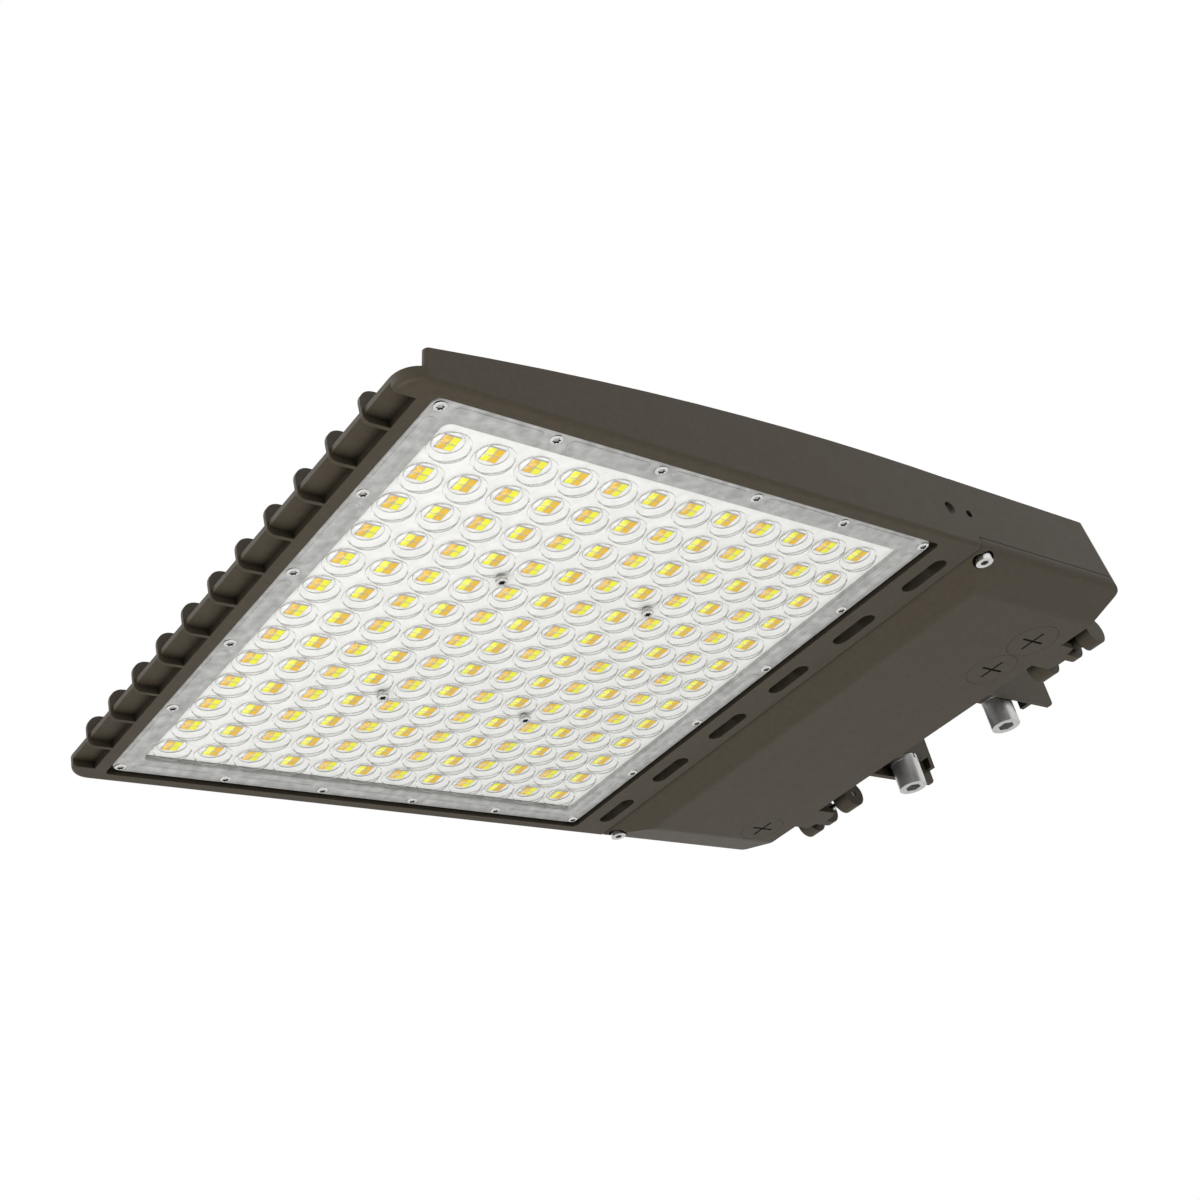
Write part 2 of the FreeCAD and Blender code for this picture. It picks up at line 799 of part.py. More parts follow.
def lens_plate():
    half_x = lens_width / 2
    y0 = recess_mid_y - lens_length / 2
    y1 = recess_mid_y + lens_length / 2
    rim_face = lens_face - lens_rim_step
    plate = rounded_plate(-half_x, half_x, y0, y1, rim_face, lens_top, lens_corner)
    rim = lens_rim_width
    field = rounded_plate(
        -half_x + rim, half_x - rim, y0 + rim, y1 - rim, rim_face - 1, lens_face, lens_corner
    )
    plate = plate.cut(field)
    one_dome = dome()
    domes = []
    for column, row, x, y in cell_places():
        copy = one_dome.copy()
        copy.translate(V(x, y, 0))
        domes.append(copy)
    spacers = []
    for x, y in inner_screw_places():
        spacers.append(rod(lens_head_r + 1, x, y, lens_top - 0.5, board_face))
    plate = plate.multiFuse(domes + spacers)
    cuts = []
    for x, y in rim_screw_places() + inner_screw_places():
        cuts.append(rod(lens_screw_r + lens_screw_slack, x, y, rim_face - 1, board_top))
        cuts.append(rod(lens_head_r + lens_screw_slack, x, y, rim_face - 1, head_seat_z))
    return plate.cut(group(cuts))


def ring_plate(outer_x, outer_y, inner_x, inner_y, mid_y, z0, z1):
    outer = block(-outer_x, outer_x, mid_y - outer_y, mid_y + outer_y, z0, z1)
    inner = block(-inner_x, inner_x, mid_y - inner_y, mid_y + inner_y, z0 - 1, z1 + 1)
    return outer.cut(inner)


def lens_gasket():
    outer_x = recess_width / 2 - ledge_width - gasket_room
    outer_y = recess_length / 2 - ledge_width - gasket_room
    return ring_plate(
        outer_x, outer_y, board_width / 2 + gasket_room, board_length / 2 + gasket_room,
        recess_mid_y, lens_top, board_top,
    )


def led_board():
    half_x = board_width / 2
    y0 = recess_mid_y - board_length / 2
    y1 = recess_mid_y + board_length / 2
    board = block(-half_x, half_x, y0, y1, board_face, board_top)
    holes = []
    for x, y in inner_screw_places():
        holes.append(rod(lens_screw_r + lens_screw_slack, x, y, board_face - 1, board_top + 1))
    return board.cut(group(holes))


def led_packages(amber):
    """One colour of all cells. The colours swap ends from one row to the next."""
    packages = []
    for column, row, x, y in cell_places():
        in_front = (row % 2 == 0) == amber
        middle = y + (-1 if in_front else 1) * (package_y + package_gap) / 2
        packages.append(
            block(
                x - package_x / 2, x + package_x / 2,
                middle - package_y / 2, middle + package_y / 2,
                board_face - package_height, board_face,
            )
        )
    return group(packages)


def screw(x, y, head_r, head_z0, head_z1, shank_r, tip_z, key):
    """Screw that points up, with a hexagon socket in its head."""
    body = rod(head_r, x, y, head_z0, head_z1).fuse(rod(shank_r, x, y, head_z1, tip_z))
    depth = (head_z1 - head_z0) * 0.6
    return body.cut(hexagon_rod(key, x, y, head_z0 - 1, head_z0 + depth))


def lens_screws():
    screws = []
    for places, start in ((rim_screw_places(), lens_top), (inner_screw_places(), board_top)):
        tip = start + lens_screw_bite - 0.3
        for x, y in places:
            head = rod(lens_head_r, x, y, head_seat_z - lens_head_height, head_seat_z)
            shank = rod(lens_screw_r, x, y, head_seat_z, tip)
            screws.append(head.fuse(shank))
    return group(screws)


# ---------------------------------------------------------------- driver cover
def cover_profile(inset, crease_low, crease_high):
    """Side profile of the cover, drawn in by inset: front strip, front slope, flat bottom."""
    front = cover_front_y + split_gap + inset
    low = cover_bottom + inset * slope_stretch
    return [
        (V(0, front, cover_top + 1), 0),
        (V(0, front, slope_z + inset * slope_stretch), crease_high),
        (V(0, cover_front_y + cover_front_slope, low), crease_low),
        (V(0, 0, low), 0),
        (V(0, 0, cover_top + 1), 0),
    ]


def cover_section(inset, crease_low, crease_high):
    """Cross section of the cover, drawn in by inset: two side strips and side slopes."""
    low = cover_bottom + inset * slope_stretch
    high = slope_z + inset * slope_stretch
    strip_x = half_width - inset
    flat_x = half_width - cover_side_slope
    return [
        (V(-strip_x, 0, cover_top + 1), 0),
        (V(-strip_x, 0, high), crease_high),
        (V(-flat_x, 0, low), crease_low),
        (V(flat_x, 0, low), crease_low),
        (V(strip_x, 0, high), crease_high),
        (V(strip_x, 0, cover_top + 1), 0),
    ]


def cover_block(inset, z0, z1):
    """Block inside the cover's rim, drawn in by inset, with the leaning, rounded rear."""
    outline = [
        (cover_front_y + split_gap + inset, z0),
        (rear_face_y(z0) - inset, z0),
        (rear_face_y(z1) - inset, z1),
        (cover_front_y + split_gap + inset, z1),
    ]
    shape = prism_x(outline, -half_width + inset, half_width - inset)
    rear = []
    for edge in shape.Edges:
        box = edge.BoundBox
        if box.XLength < 0.01 and box.ZLength > 0.01 and box.Center.y > (cover_front_y + rear_y) / 2:
            rear.append(edge)
    return shape.makeFillet(cover_corner - inset, rear)


def cover_form(inset, crease_low, crease_high, z1):
    """Dished form of the cover, drawn in by inset, from its bottom up to z1."""
    side = Part.Face(rounded_wire(cover_profile(inset, crease_low, crease_high)))
    side.translate(V(-half_width, 0, 0))
    across = Part.Face(rounded_wire(cover_section(inset, crease_low, crease_high)))
    across.translate(V(0, cover_front_y, 0))
    form = side.extrude(V(2 * half_width, 0, 0))
    form = form.common(across.extrude(V(0, -cover_front_y, 0)))
    return form.common(cover_block(inset, cover_bottom - 1, z1))


def cover_knuckle_arm():
    """Right knuckle of the cover and the tongue that carries it."""
    low = hinge_z - knuckle_r
    barrel = cross_rod(knuckle_r, cover_knuckle[0], cover_knuckle[1], hinge_y, hinge_z)
    root_y = rear_y - cover_wall / 2
    outline = [
        (cover_tongue[0], root_y),
        (cover_tongue[0], tongue_end - tongue_corner[1]),
        (cover_tongue[0] + tongue_corner[0], tongue_end),
        (cover_knuckle[0], tongue_end),
        (cover_knuckle[0], hinge_y),
        (cover_knuckle[1], hinge_y),
        (cover_knuckle[1], tongue_notch),
        (cover_tongue[1], tongue_notch - tongue_flare),
        (cover_tongue[1], root_y),
    ]
    return prism_z(outline, low, low + tongue_thickness).fuse(barrel)


def selector_posts():
    """Places of the posts under the selector board."""
    x0 = distribution_port_x - selector_margin[0] + post_inset
    x1 = power_port_x + selector_margin[0] - post_inset
    y0 = port_y - selector_margin[1] + post_inset
    y1 = port_y + selector_margin[1] - post_inset
    return [(x0, y0), (x1, y0), (x0, y1), (x1, y1)]


def port_boss_top():
    return cover_bottom + plug_flange + port_seal_thickness + neck_rise() + port_boss_rise


def neck_rise():
    """How far a plug's neck stands above the seal's seat in the cover."""
    return plug_neck_length - port_seal_thickness


def driver_cover():
    outer = cover_form(0, cover_bottom_crease, cover_upper_crease, cover_top)
    shell = outer.cut(cover_form(cover_wall, 0, 0, cover_top + 0.5))
    parts = [shell]
    for x, y, radius in port_centres.values():
        boss = rod(radius + plug_gap + port_rim, x, y, cover_bottom, port_boss_top())
        parts.append(boss)
    for x, y in selector_posts():
        parts.append(rod(post_r, x, y, cover_bottom + 1, selector_z))
    corner = rod(captive_head_r + captive_pocket_gap + cover_wall, screw_x, screw_y,
                 cover_bottom, cover_top)
    for boss in both_sides(corner):
        parts.append(boss.common(outer))
    parts += both_sides(cover_knuckle_arm())
    cover = fuse_all(parts)

    cuts = []
    for x, y, radius in port_centres.values():
        seat = cover_bottom + plug_flange + port_seal_thickness
        neck_r = radius - plug_neck_step
        cuts.append(rod(radius + plug_gap, x, y, cover_bottom - 1, seat))
        cuts.append(rod(neck_r + plug_fit, x, y, cover_bottom, cover_top))
    for x, y in selector_posts():
        cuts.append(rod(selector_screw_r + screw_fit, x, y, selector_z - 4, selector_z + 1))
    cuts += both_sides(
        rod(captive_head_r + captive_pocket_gap, screw_x, screw_y, cover_bottom - 5, captive_seat_z)
    )
    cuts += both_sides(rod(captive_shank_r + captive_slack, screw_x, screw_y, cover_bottom, 0))
    cuts += both_sides(
        cross_rod(pin_r + pin_fit, cover_knuckle[0] - 1, cover_knuckle[1] + 1, hinge_y, hinge_z)
    )
    cuts.append(seal_strip(cover_top - seal_depth, cover_top + 1, seal_width))
    return cut_all(cover, cuts)


def seal_strip(z0, z1, width):
    """Closed strip that runs along the middle of the cover's rim."""
    edge = (cover_wall - width) / 2
    return cover_block(edge, z0, z1).cut(cover_block(edge + width, z0 - 1, z1 + 1))


def cover_gasket():
    room = 2 * seal_slack
    return seal_strip(cover_top - seal_depth, split_z - seal_slack, seal_width - room)


def port_plug(name):
    """Flush plug with a crossed slot and a hollow neck."""
    x, y, radius = port_centres[name]
    neck_r = radius - plug_neck_step
    flange_top = cover_bottom + plug_flange
    plug = rod(radius, x, y, cover_bottom, flange_top)
    plug = plug.fuse(rod(neck_r, x, y, flange_top, flange_top + plug_neck_length))
    hollow = rod(neck_r - plug_neck_wall, x, y, flange_top, flange_top + plug_neck_length + 1)
    half = cross_length / 2
    thin = cross_width / 2
    slot_top = cover_bottom + cross_depth
    slot_x = block(x - half, x + half, y - thin, y + thin, cover_bottom - 1, slot_top)
    slot_y = block(x - thin, x + thin, y - half, y + half, cover_bottom - 1, slot_top)
    return plug.cut(group([hollow, slot_x, slot_y]))


def port_seals():
    seals = []
    for x, y, radius in port_centres.values():
        neck_r = radius - plug_neck_step
        z0 = cover_bottom + plug_flange
        seals.append(tube(radius - 0.5, neck_r + plug_fit, x, y, z0, z0 + port_seal_thickness))
    return group(seals)


def captive_screw(side):
    x = side * screw_x
    return screw(
        x, screw_y, captive_head_r, captive_seat_z - captive_head_height, captive_seat_z,
        captive_shank_r, split_z + captive_bite, captive_key,
    )


def screw_retainers():
    rings = []
    for side in (-1, 1):
        rings.append(
            tube(retainer_r, captive_shank_r + screw_fit, side * screw_x, screw_y,
                 cover_top, cover_top + retainer_thickness)
        )
    return group(rings)


def hinge_pin(side):
    x0 = inner_knuckle[0] + pin_inset
    x1 = outer_knuckle[1] - pin_cap - pin_inset
    pin = cross_rod(pin_r, x0, x1, hinge_y, hinge_z)
    return pin if side > 0 else pin.mirror(V(0, 0, 0), X_AXIS)


# ---------------------------------------------------------------- selector and sensor port
def switch_places():
    """Middle of each slide switch and the direction in which it travels."""
    return {
        "power": (power_port_x + switch_spread, port_y),
        "cct": (power_port_x - switch_spread, port_y),
        "distribution": (distribution_port_x, port_y),
    }


def selector_board():
    x0 = distribution_port_x - selector_margin[0]
    x1 = power_port_x + selector_margin[0]
    y0 = port_y - selector_margin[1]
    y1 = port_y + selector_margin[1]
    board = block(x0, x1, y0, y1, selector_z, selector_z + selector_thickness)
    holes = []
    for x, y in selector_posts():
        holes.append(rod(selector_screw_r + screw_fit, x, y, selector_z - 1, selector_z + 3))
    return board.cut(group(holes))


def selector_screws():
    screws = []
    top = selector_z + selector_thickness
    for x, y in selector_posts():
        shank = rod(selector_screw_r, x, y, selector_z - 3.5, top)
        screws.append(shank.fuse(rod(2 * selector_screw_r, x, y, top, top + 1.2)))
    return group(screws)


def case_box(x, y):
    """Switch case, longer along Y, with its slot for the slider."""
    half_x = case_size[1] / 2
    half_y = case_size[0] / 2
    return block(x - half_x, x + half_x, y - half_y, y + half_y, selector_z - case_size[2], selector_z)


def switch_cases():
    cases = []
    for x, y in switch_places().values():
        half_x = slider_size[0] / 2 + slider_fit
        half_y = slider_size[1] / 2 + slider_travel + slider_fit
        z0 = selector_z - case_size[2]
        slot = block(x - half_x, x + half_x, y - half_y, y + half_y, z0 - 1, z0 + 2)
        cases.append(case_box(x, y).cut(slot))
    return group(cases)


def slider(name):
    x, y = switch_places()[name]
    half_x = slider_size[0] / 2
    half_y = slider_size[1] / 2
    root = selector_z - case_size[2] + 2 - slider_fit
    return block(x - half_x, x + half_x, y - half_y, y + half_y, root - slider_length, root)


def sensor_socket():
    """Socket behind the sensor port, open towards the port, with three contacts' floor."""
    x, y, radius = port_centres["sensor"]
    z0 = port_boss_top()
    flange = rod(socket_flange_r, x, y, z0, z0 + socket_flange)
    body = rod(socket_r, x, y, z0, z0 + socket_height)
    bore = rod(socket_bore_r, x, y, z0 - 1, z0 + socket_height - socket_floor)
    return flange.fuse(body).cut(bore)


# ---------------------------------------------------------------- driver compartment
def led_driver():
    top = ceiling_z - pad_height
    x0 = driver_x - driver_length / 2
    x1 = driver_x + driver_length / 2
    y0 = driver_y - driver_width / 2
    y1 = driver_y + driver_width / 2
    body = block(x0, x1, y0, y1, top - driver_height, top)
    ears = block(x0 - ear_length, x1 + ear_length, y0, y1, top - ear_thickness, top)
    holes = []
    for x, y in driver_screw_places():
        holes.append(rod(driver_screw_r + screw_fit, x, y, top - ear_thickness - 1, top + 1))
    return body.fuse(ears).cut(group(holes))


def driver_screws():
    seat = ceiling_z - pad_height - ear_thickness
    screws = []
    for x, y in driver_screw_places():
        screws.append(
            screw(x, y, driver_head_r, seat - driver_head_height, seat, driver_screw_r,
                  ceiling_z - 0.5, driver_screw_r)
        )
    return group(screws)


def hung_box(size, place):
    """Closed box that hangs from the ceiling of the compartment."""
    x, y = place
    length, width, height = size
    return block(x - length / 2, x + length / 2, y - width / 2, y + width / 2,
                 ceiling_z - height, ceiling_z)


def surge_protector():
    box = hung_box(surge_size, surge_at)
    return box.makeFillet(3, upright_edges(box, lambda c: True))


def terminal_block():
    box = hung_box(terminal_size, terminal_at)
    x, y = terminal_at
    cuts = []
    pitch = terminal_size[0] / terminal_poles
    z0 = ceiling_z - terminal_size[2]
    for offset in symmetric(terminal_poles, pitch):
        cuts.append(rod(pitch / 4, x + offset, y, z0 - 1, z0 + 6))
    return box.cut(group(cuts))


def input_leads():
    """Three short leads from the driver's end face to the terminal block."""
    x0 = driver_x + driver_length / 2
    x1 = terminal_at[0] - terminal_size[0] / 2
    leads = []
    for offset in symmetric(3, lead_spacing):
        leads.append(cross_rod(lead_r, x0, x1, terminal_at[1] + offset, input_lead_z))
    return group(leads)


def ground_screw():
    x, y = ground_at
    seat = ceiling_z - pad_height - ring_thickness
    return screw(x, y, driver_head_r, seat - driver_head_height, seat, driver_screw_r,
                 ceiling_z - 0.5, driver_screw_r)


def ground_lead():
    """Ring under the ground screw and its lead to the terminal block."""
    x, y = ground_at
    top = ceiling_z - pad_height
    ring = rod(pad_r, x, y, top - ring_thickness, top)
    mid_z = top - ring_thickness / 2
    start = terminal_at[0] + terminal_size[0] / 2
    lead = cross_rod(ring_thickness / 2, start, x - driver_screw_r - 1, y, mid_z)
    return ring.fuse(lead).cut(rod(driver_screw_r + screw_fit, x, y, top - 10, top + 1))


def led_leads():
    """Two leads from the back of the LED board, through the wireway, to the driver."""
    y0 = cover_front_y - wireway_y_offset
    y1 = driver_y - driver_width / 2
    bend = lead_bend
    rise = lead_z - bend
    diagonal = bend * (1 - math.cos(math.pi / 4))
    leads = []
    for x in symmetric(2, lead_spacing):
        edges = [
            Part.makeLine(V(x, y0, board_top), V(x, y0, rise)),
            Part.Arc(
                V(x, y0, rise),
                V(x, y0 + diagonal, lead_z - diagonal),
                V(x, y0 + bend, lead_z),
            ).toShape(),
            Part.makeLine(V(x, y0 + bend, lead_z), V(x, y1, lead_z)),
        ]
        path = Part.Wire(edges)
        circle = Part.Wire([Part.makeCircle(lead_r, V(x, y0, board_top), Z_AXIS)])
        leads.append(path.makePipeShell([circle], True, False))
    return group(leads)


def led_grommet():
    """Rubber ring in the front wall of the compartment."""
    y0 = compartment_front_y - wall
    outer = Part.makeCylinder(wireway_r - 0.05, wall, V(0, y0, lead_z), Y_AXIS)
    flange = Part.makeCylinder(wireway_r + 2, 1.5, V(0, compartment_front_y, lead_z), Y_AXIS)
    bore = Part.makeCylinder(
        lead_spacing / 2 + lead_r + 0.2, 4 * wall, V(0, y0 - wall, lead_z), Y_AXIS
    )
    return outer.fuse(flange).cut(bore)


def supply_grommet():
    """Rubber grommet in the rear wall, gripping the wall between two flanges."""
    middle = through_rear_wall(entry_r - 0.05, wall / 2, wall)
    inside = through_rear_wall(entry_r + 2, wall / 2 + 1.5, 1.5)
    outside = through_rear_wall(entry_r + 2, -wall / 2, 1.5)
    bore = through_rear_wall(entry_bore_r, 3 * wall, 6 * wall)
    return middle.fuse(inside).fuse(outside).cut(bore)


# ---------------------------------------------------------------- arm bolts
def mount_bolts():
    bolts = []
    for side in (-1, 1):
        x = side * bolt_x
        bolts.append(
            screw(x, 0, bolt_head_r, -washer_thickness - bolt_head_height, -washer_thickness,
                  bolt_shank_r, bolt_grip, bolt_key)
        )
    return group(bolts)


def lock_washers():
    """Split spring washers under the bolt heads."""
    washers = []
    for side in (-1, 1):
        x = side * bolt_x
        ring = tube(washer_r, bolt_shank_r + 0.2, x, 0, -washer_thickness, 0)
        gap = block(x, x + washer_r + 1, -washer_gap / 2, washer_gap / 2, -washer_thickness - 1, 1)
        washers.append(ring.cut(gap))
    return group(washers)


# ---------------------------------------------------------------- write the files
def build():
    return {
        "housing": housing(),
        "lens_plate": lens_plate(),
        "lens_gasket": lens_gasket(),
        "led_board": led_board(),
        "warm_leds": led_packages(True),
        "cool_leds": led_packages(False),
        "lens_screws": lens_screws(),
        "driver_cover": driver_cover(),
        "cover_gasket": cover_gasket(),
        "hinge_pin_left": hinge_pin(-1),
        "hinge_pin_right": hinge_pin(1),
        "captive_screw_left": captive_screw(-1),
        "captive_screw_right": captive_screw(1),
        "screw_retainers": screw_retainers(),
        "power_port_plug": port_plug("power"),
        "distribution_port_plug": port_plug("distribution"),
        "sensor_port_plug": port_plug("sensor"),
        "port_seals": port_seals(),
        "selector_board": selector_board(),
        "selector_screws": selector_screws(),
        "switch_cases": switch_cases(),
        "power_slider": slider("power"),
        "cct_slider": slider("cct"),
        "distribution_slider": slider("distribution"),
        "sensor_socket": sensor_socket(),
        "led_driver": led_driver(),
        "driver_screws": driver_screws(),
        "surge_protector": surge_protector(),
        "terminal_block": terminal_block(),
        "input_leads": input_leads(),
        "ground_screw": ground_screw(),
        "ground_lead": ground_lead(),
        "led_leads": led_leads(),
        "led_grommet": led_grommet(),
        "supply_grommet": supply_grommet(),
        "mount_bolts": mount_bolts(),
        "lock_washers": lock_washers(),
    }


def main():
    os.makedirs("parts", exist_ok=True)
    for name, shape in build().items():
        shape.exportStep(f"parts/{name}.step")
        print(name, "solids", len(shape.Solids), "valid", shape.isValid())


main()
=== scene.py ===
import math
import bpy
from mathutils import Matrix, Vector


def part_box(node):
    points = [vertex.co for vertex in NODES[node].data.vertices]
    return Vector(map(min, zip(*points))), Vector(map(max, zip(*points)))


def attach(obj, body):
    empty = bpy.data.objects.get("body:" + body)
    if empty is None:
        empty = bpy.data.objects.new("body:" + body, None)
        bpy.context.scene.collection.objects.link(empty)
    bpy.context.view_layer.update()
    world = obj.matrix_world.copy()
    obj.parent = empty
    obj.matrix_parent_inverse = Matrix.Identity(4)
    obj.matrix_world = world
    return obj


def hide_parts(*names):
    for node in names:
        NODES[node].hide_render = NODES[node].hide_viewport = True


bl_info = {
    "name": "Shoebox area light",
    "version": (1, 0, 0),
    "blender": (4, 5, 0),
    "location": "3D View > Sidebar > Area light",
    "description": "Dresses the packed area light: paint, clear lenses, screws, stage and camera",
    "category": "Object",
}

import bmesh
import bpy
from mathutils import Matrix, Vector

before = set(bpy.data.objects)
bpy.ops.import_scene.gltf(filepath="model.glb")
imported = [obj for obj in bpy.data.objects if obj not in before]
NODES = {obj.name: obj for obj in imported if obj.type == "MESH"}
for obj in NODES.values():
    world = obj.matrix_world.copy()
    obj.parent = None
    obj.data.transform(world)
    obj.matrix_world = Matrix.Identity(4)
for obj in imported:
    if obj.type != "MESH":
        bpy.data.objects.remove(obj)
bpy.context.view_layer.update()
MM = 0.001


def linear(code):
    """An sRGB hex colour as the linear RGBA that Blender's sockets take."""
    channels = [int(code[i:i + 2], 16) / 255 for i in (1, 3, 5)]
    return tuple(c / 12.92 if c <= 0.04045 else ((c + 0.055) / 1.055) ** 2.4 for c in channels) + (1.0,)


# ---------------------------------------------------------------- places read from the frame
LENS_LOW, LENS_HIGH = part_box("lens_plate")
WARM_LOW, WARM_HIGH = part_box("warm_leds")
COOL_LOW, COOL_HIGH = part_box("cool_leds")
SCREWS_LOW, SCREWS_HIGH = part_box("lens_screws")


def grey(share):
    """A linear grey, for a ramp that drives a factor."""
    return (share, share, share, 1.0)


# ---------------------------------------------------------------- fixed sizes and shapes
WELD = 1e-6  # vertices closer than this are one
LEVEL = 1e-7  # heights closer than this are equal
ON_BORDER = 1e-5  # vertices this close to the border of the cell grid belong to it
CELL_WELD = 0.01 * MM  # welds each cell of the lens field to the next

CELL_SEGMENTS = 24
# Lens domes and the pockets behind them: share of the radius, share of the height.
DOME_PROFILE = (
    (1.0, 0.0), (0.985, 0.14), (0.93, 0.19), (0.89, 0.44),
    (0.80, 0.68), (0.66, 0.86), (0.46, 0.96), (0.22, 1.0))
POCKET_PROFILE = ((1.0, 0.0), (0.97, 0.3), (0.92, 0.5), (0.74, 0.80), (0.42, 1.0))
FIELD_GAP = 0.05 * MM  # air between the clear field and the frosted rim
PACKAGE_SET_BACK = 0.15 * MM  # from the phosphor faces back to the ceramic

CORNER_SEGMENTS = 6  # edges in each round corner
RIM_EDGE = 0.6 * MM  # rounding of the rim's two lower edges
PAD_NEAR, PAD_FAR = 2.2 * MM, 8.6 * MM  # sides of a raised pad, from the edge of the plate
PAD_END_GAP = 7.0 * MM  # from a screw's axis to the end of a pad
PAD_RISE = 0.45 * MM
PAD_EDGE = 0.9 * PAD_RISE
PAD_CORNER = 3.0 * MM
PAD_ROOT = 1.0 * MM  # from the back of the plate down to the hidden root of a pad

HEAD_SEGMENTS = 24
HEAD_WALL = 0.6  # straight part of a pan head, as a share of its height
# The rounded part of a pan head: share of its radius, share of its height.
HEAD_PROFILE = ((0.95, 0.16), (0.84, 0.05), (0.7, 0.0))
KEY_POINTS = 6
KEY_WAVE = 0.18  # half the depth between the points of the recess, as a share of its radius
KEY_TAPER = 0.9  # the floor of the recess against its mouth

MIDDLE = (0.0, -0.25, 0.0)  # about the middle of the object, where the lamps point
# Name, place, width in metres and power in watts.
LAMPS = (("key_lamp", (-0.9, -1.6, 1.6), 1.6, 14.0), ("low_lamp", (0.3, -0.9, -0.9), 1.2, 13.0))
FLOOR_REACH = 12.0  # metres
SENSOR_WIDTH = 36.0  # millimetres


# ---------------------------------------------------------------- sizes and colours to change
class LensSettings(bpy.types.PropertyGroup):
    """Clear moulded lens plate and its screws."""

    cells_across: bpy.props.IntProperty(
        name="Cells across", description="Lens domes across the head", default=13)
    cells_along: bpy.props.IntProperty(
        name="Cells along", description="Lens domes along the head", default=12)
    dome_width: bpy.props.FloatProperty(
        name="Dome width", description="One lens dome, across the head",
        default=19.6 * MM, unit="LENGTH")
    dome_length: bpy.props.FloatProperty(
        name="Dome length", description="One lens dome, along the head",
        default=20.9 * MM, unit="LENGTH")
    dome_height: bpy.props.FloatProperty(
        name="Dome height", description="How far a dome stands out of the plate",
        default=4.6 * MM, unit="LENGTH")
    pocket_share: bpy.props.FloatProperty(
        name="Pocket share", description="Pocket over the LEDs, as a share of the dome", default=0.74)
    pocket_depth: bpy.props.FloatProperty(
        name="Pocket depth", description="Depth of the pocket over the LEDs",
        default=1.9 * MM, unit="LENGTH")
    thickness: bpy.props.FloatProperty(
        name="Plate thickness", description="Plate between the domes", default=2.5 * MM, unit="LENGTH")
    board_gap: bpy.props.FloatProperty(
        name="Board gap", description="Air between the plate and the LED board",
        default=0.15 * MM, unit="LENGTH")
    rim_step: bpy.props.FloatProperty(
        name="Rim step", description="The rim stands this much proud", default=0.7 * MM, unit="LENGTH")
    rim_width: bpy.props.FloatProperty(
        name="Rim width", description="Width of the frosted rim", default=13.0 * MM, unit="LENGTH")
    rim_corner: bpy.props.FloatProperty(
        name="Rim corner", description="Corner radius of the plate", default=7.0 * MM, unit="LENGTH")
    pitch_x: bpy.props.FloatProperty(
        name="Cell width", description="From one cell to the next, across the head",
        default=22.1 * MM, unit="LENGTH")
    pitch_y: bpy.props.FloatProperty(
        name="Cell length", description="From one cell to the next, along the head",
        default=23.0 * MM, unit="LENGTH")
    field_corner: bpy.props.FloatProperty(
        name="Field corner", description="Corner radius of the clear field",
        default=4.0 * MM, unit="LENGTH")
    screws_per_side: bpy.props.IntProperty(
        name="Screws per side", description="Screws along one side of the rim", default=6)
    head_radius: bpy.props.FloatProperty(
        name="Screw head radius", description="Pan head of a lens screw",
        default=3.25 * MM, unit="LENGTH")
    head_height: bpy.props.FloatProperty(
        name="Screw head height", description="Pan head of a lens screw",
        default=1.9 * MM, unit="LENGTH")
    key_radius: bpy.props.FloatProperty(
        name="Key radius", description="Six-point recess of a lens screw",
        default=2.05 * MM, unit="LENGTH")
    key_depth: bpy.props.FloatProperty(
        name="Key depth", description="Six-point recess of a lens screw",
        default=1.2 * MM, unit="LENGTH")
    inner_columns: bpy.props.FloatProperty(
        name="Inner screw columns", description="Inner screws, in cells from the middle line",
        default=2.5)
    inner_rows: bpy.props.FloatProperty(
        name="Inner screw rows", description="Inner screws, in cells from the middle line", default=2.0)


class PackageSettings(bpy.types.PropertyGroup):
    """LED packages behind each dome."""

    span: bpy.props.FloatProperty(
        name="Group width", description="Both packages of one colour, across the head",
        default=8.8 * MM, unit="LENGTH")
    depth: bpy.props.FloatProperty(
        name="Package length", description="One package, along the head",
        default=3.75 * MM, unit="LENGTH")
    small: bpy.props.FloatProperty(
        name="Small package", description="Width of the smaller of the two",
        default=3.7 * MM, unit="LENGTH")
    line: bpy.props.FloatProperty(
        name="Line", description="Pale line between packages", default=0.6 * MM, unit="LENGTH")


class FinishSettings(bpy.types.PropertyGroup):
    """Colours of the finishes."""

    paint: bpy.props.FloatVectorProperty(
        name="Paint", description="Dark bronze powder coat", subtype="COLOR", size=4,
        default=linear("#3F382C"))
    paint_dark: bpy.props.FloatVectorProperty(
        name="Paint, dark", description="Bronze powder coat where it lies thick",
        subtype="COLOR", size=4,
        default=linear("#3A3327"))
    warm: bpy.props.FloatVectorProperty(
        name="Warm phosphor", description="Amber face of the warm LEDs", subtype="COLOR", size=4,
        default=linear("#EDBE00"))
    cool: bpy.props.FloatVectorProperty(
        name="Cool phosphor", description="Yellow face of the cool LEDs", subtype="COLOR", size=4,
        default=linear("#F8F400"))
    board: bpy.props.FloatVectorProperty(
        name="Board", description="White solder mask of the LED board", subtype="COLOR", size=4,
        default=linear("#FAFAF8"))


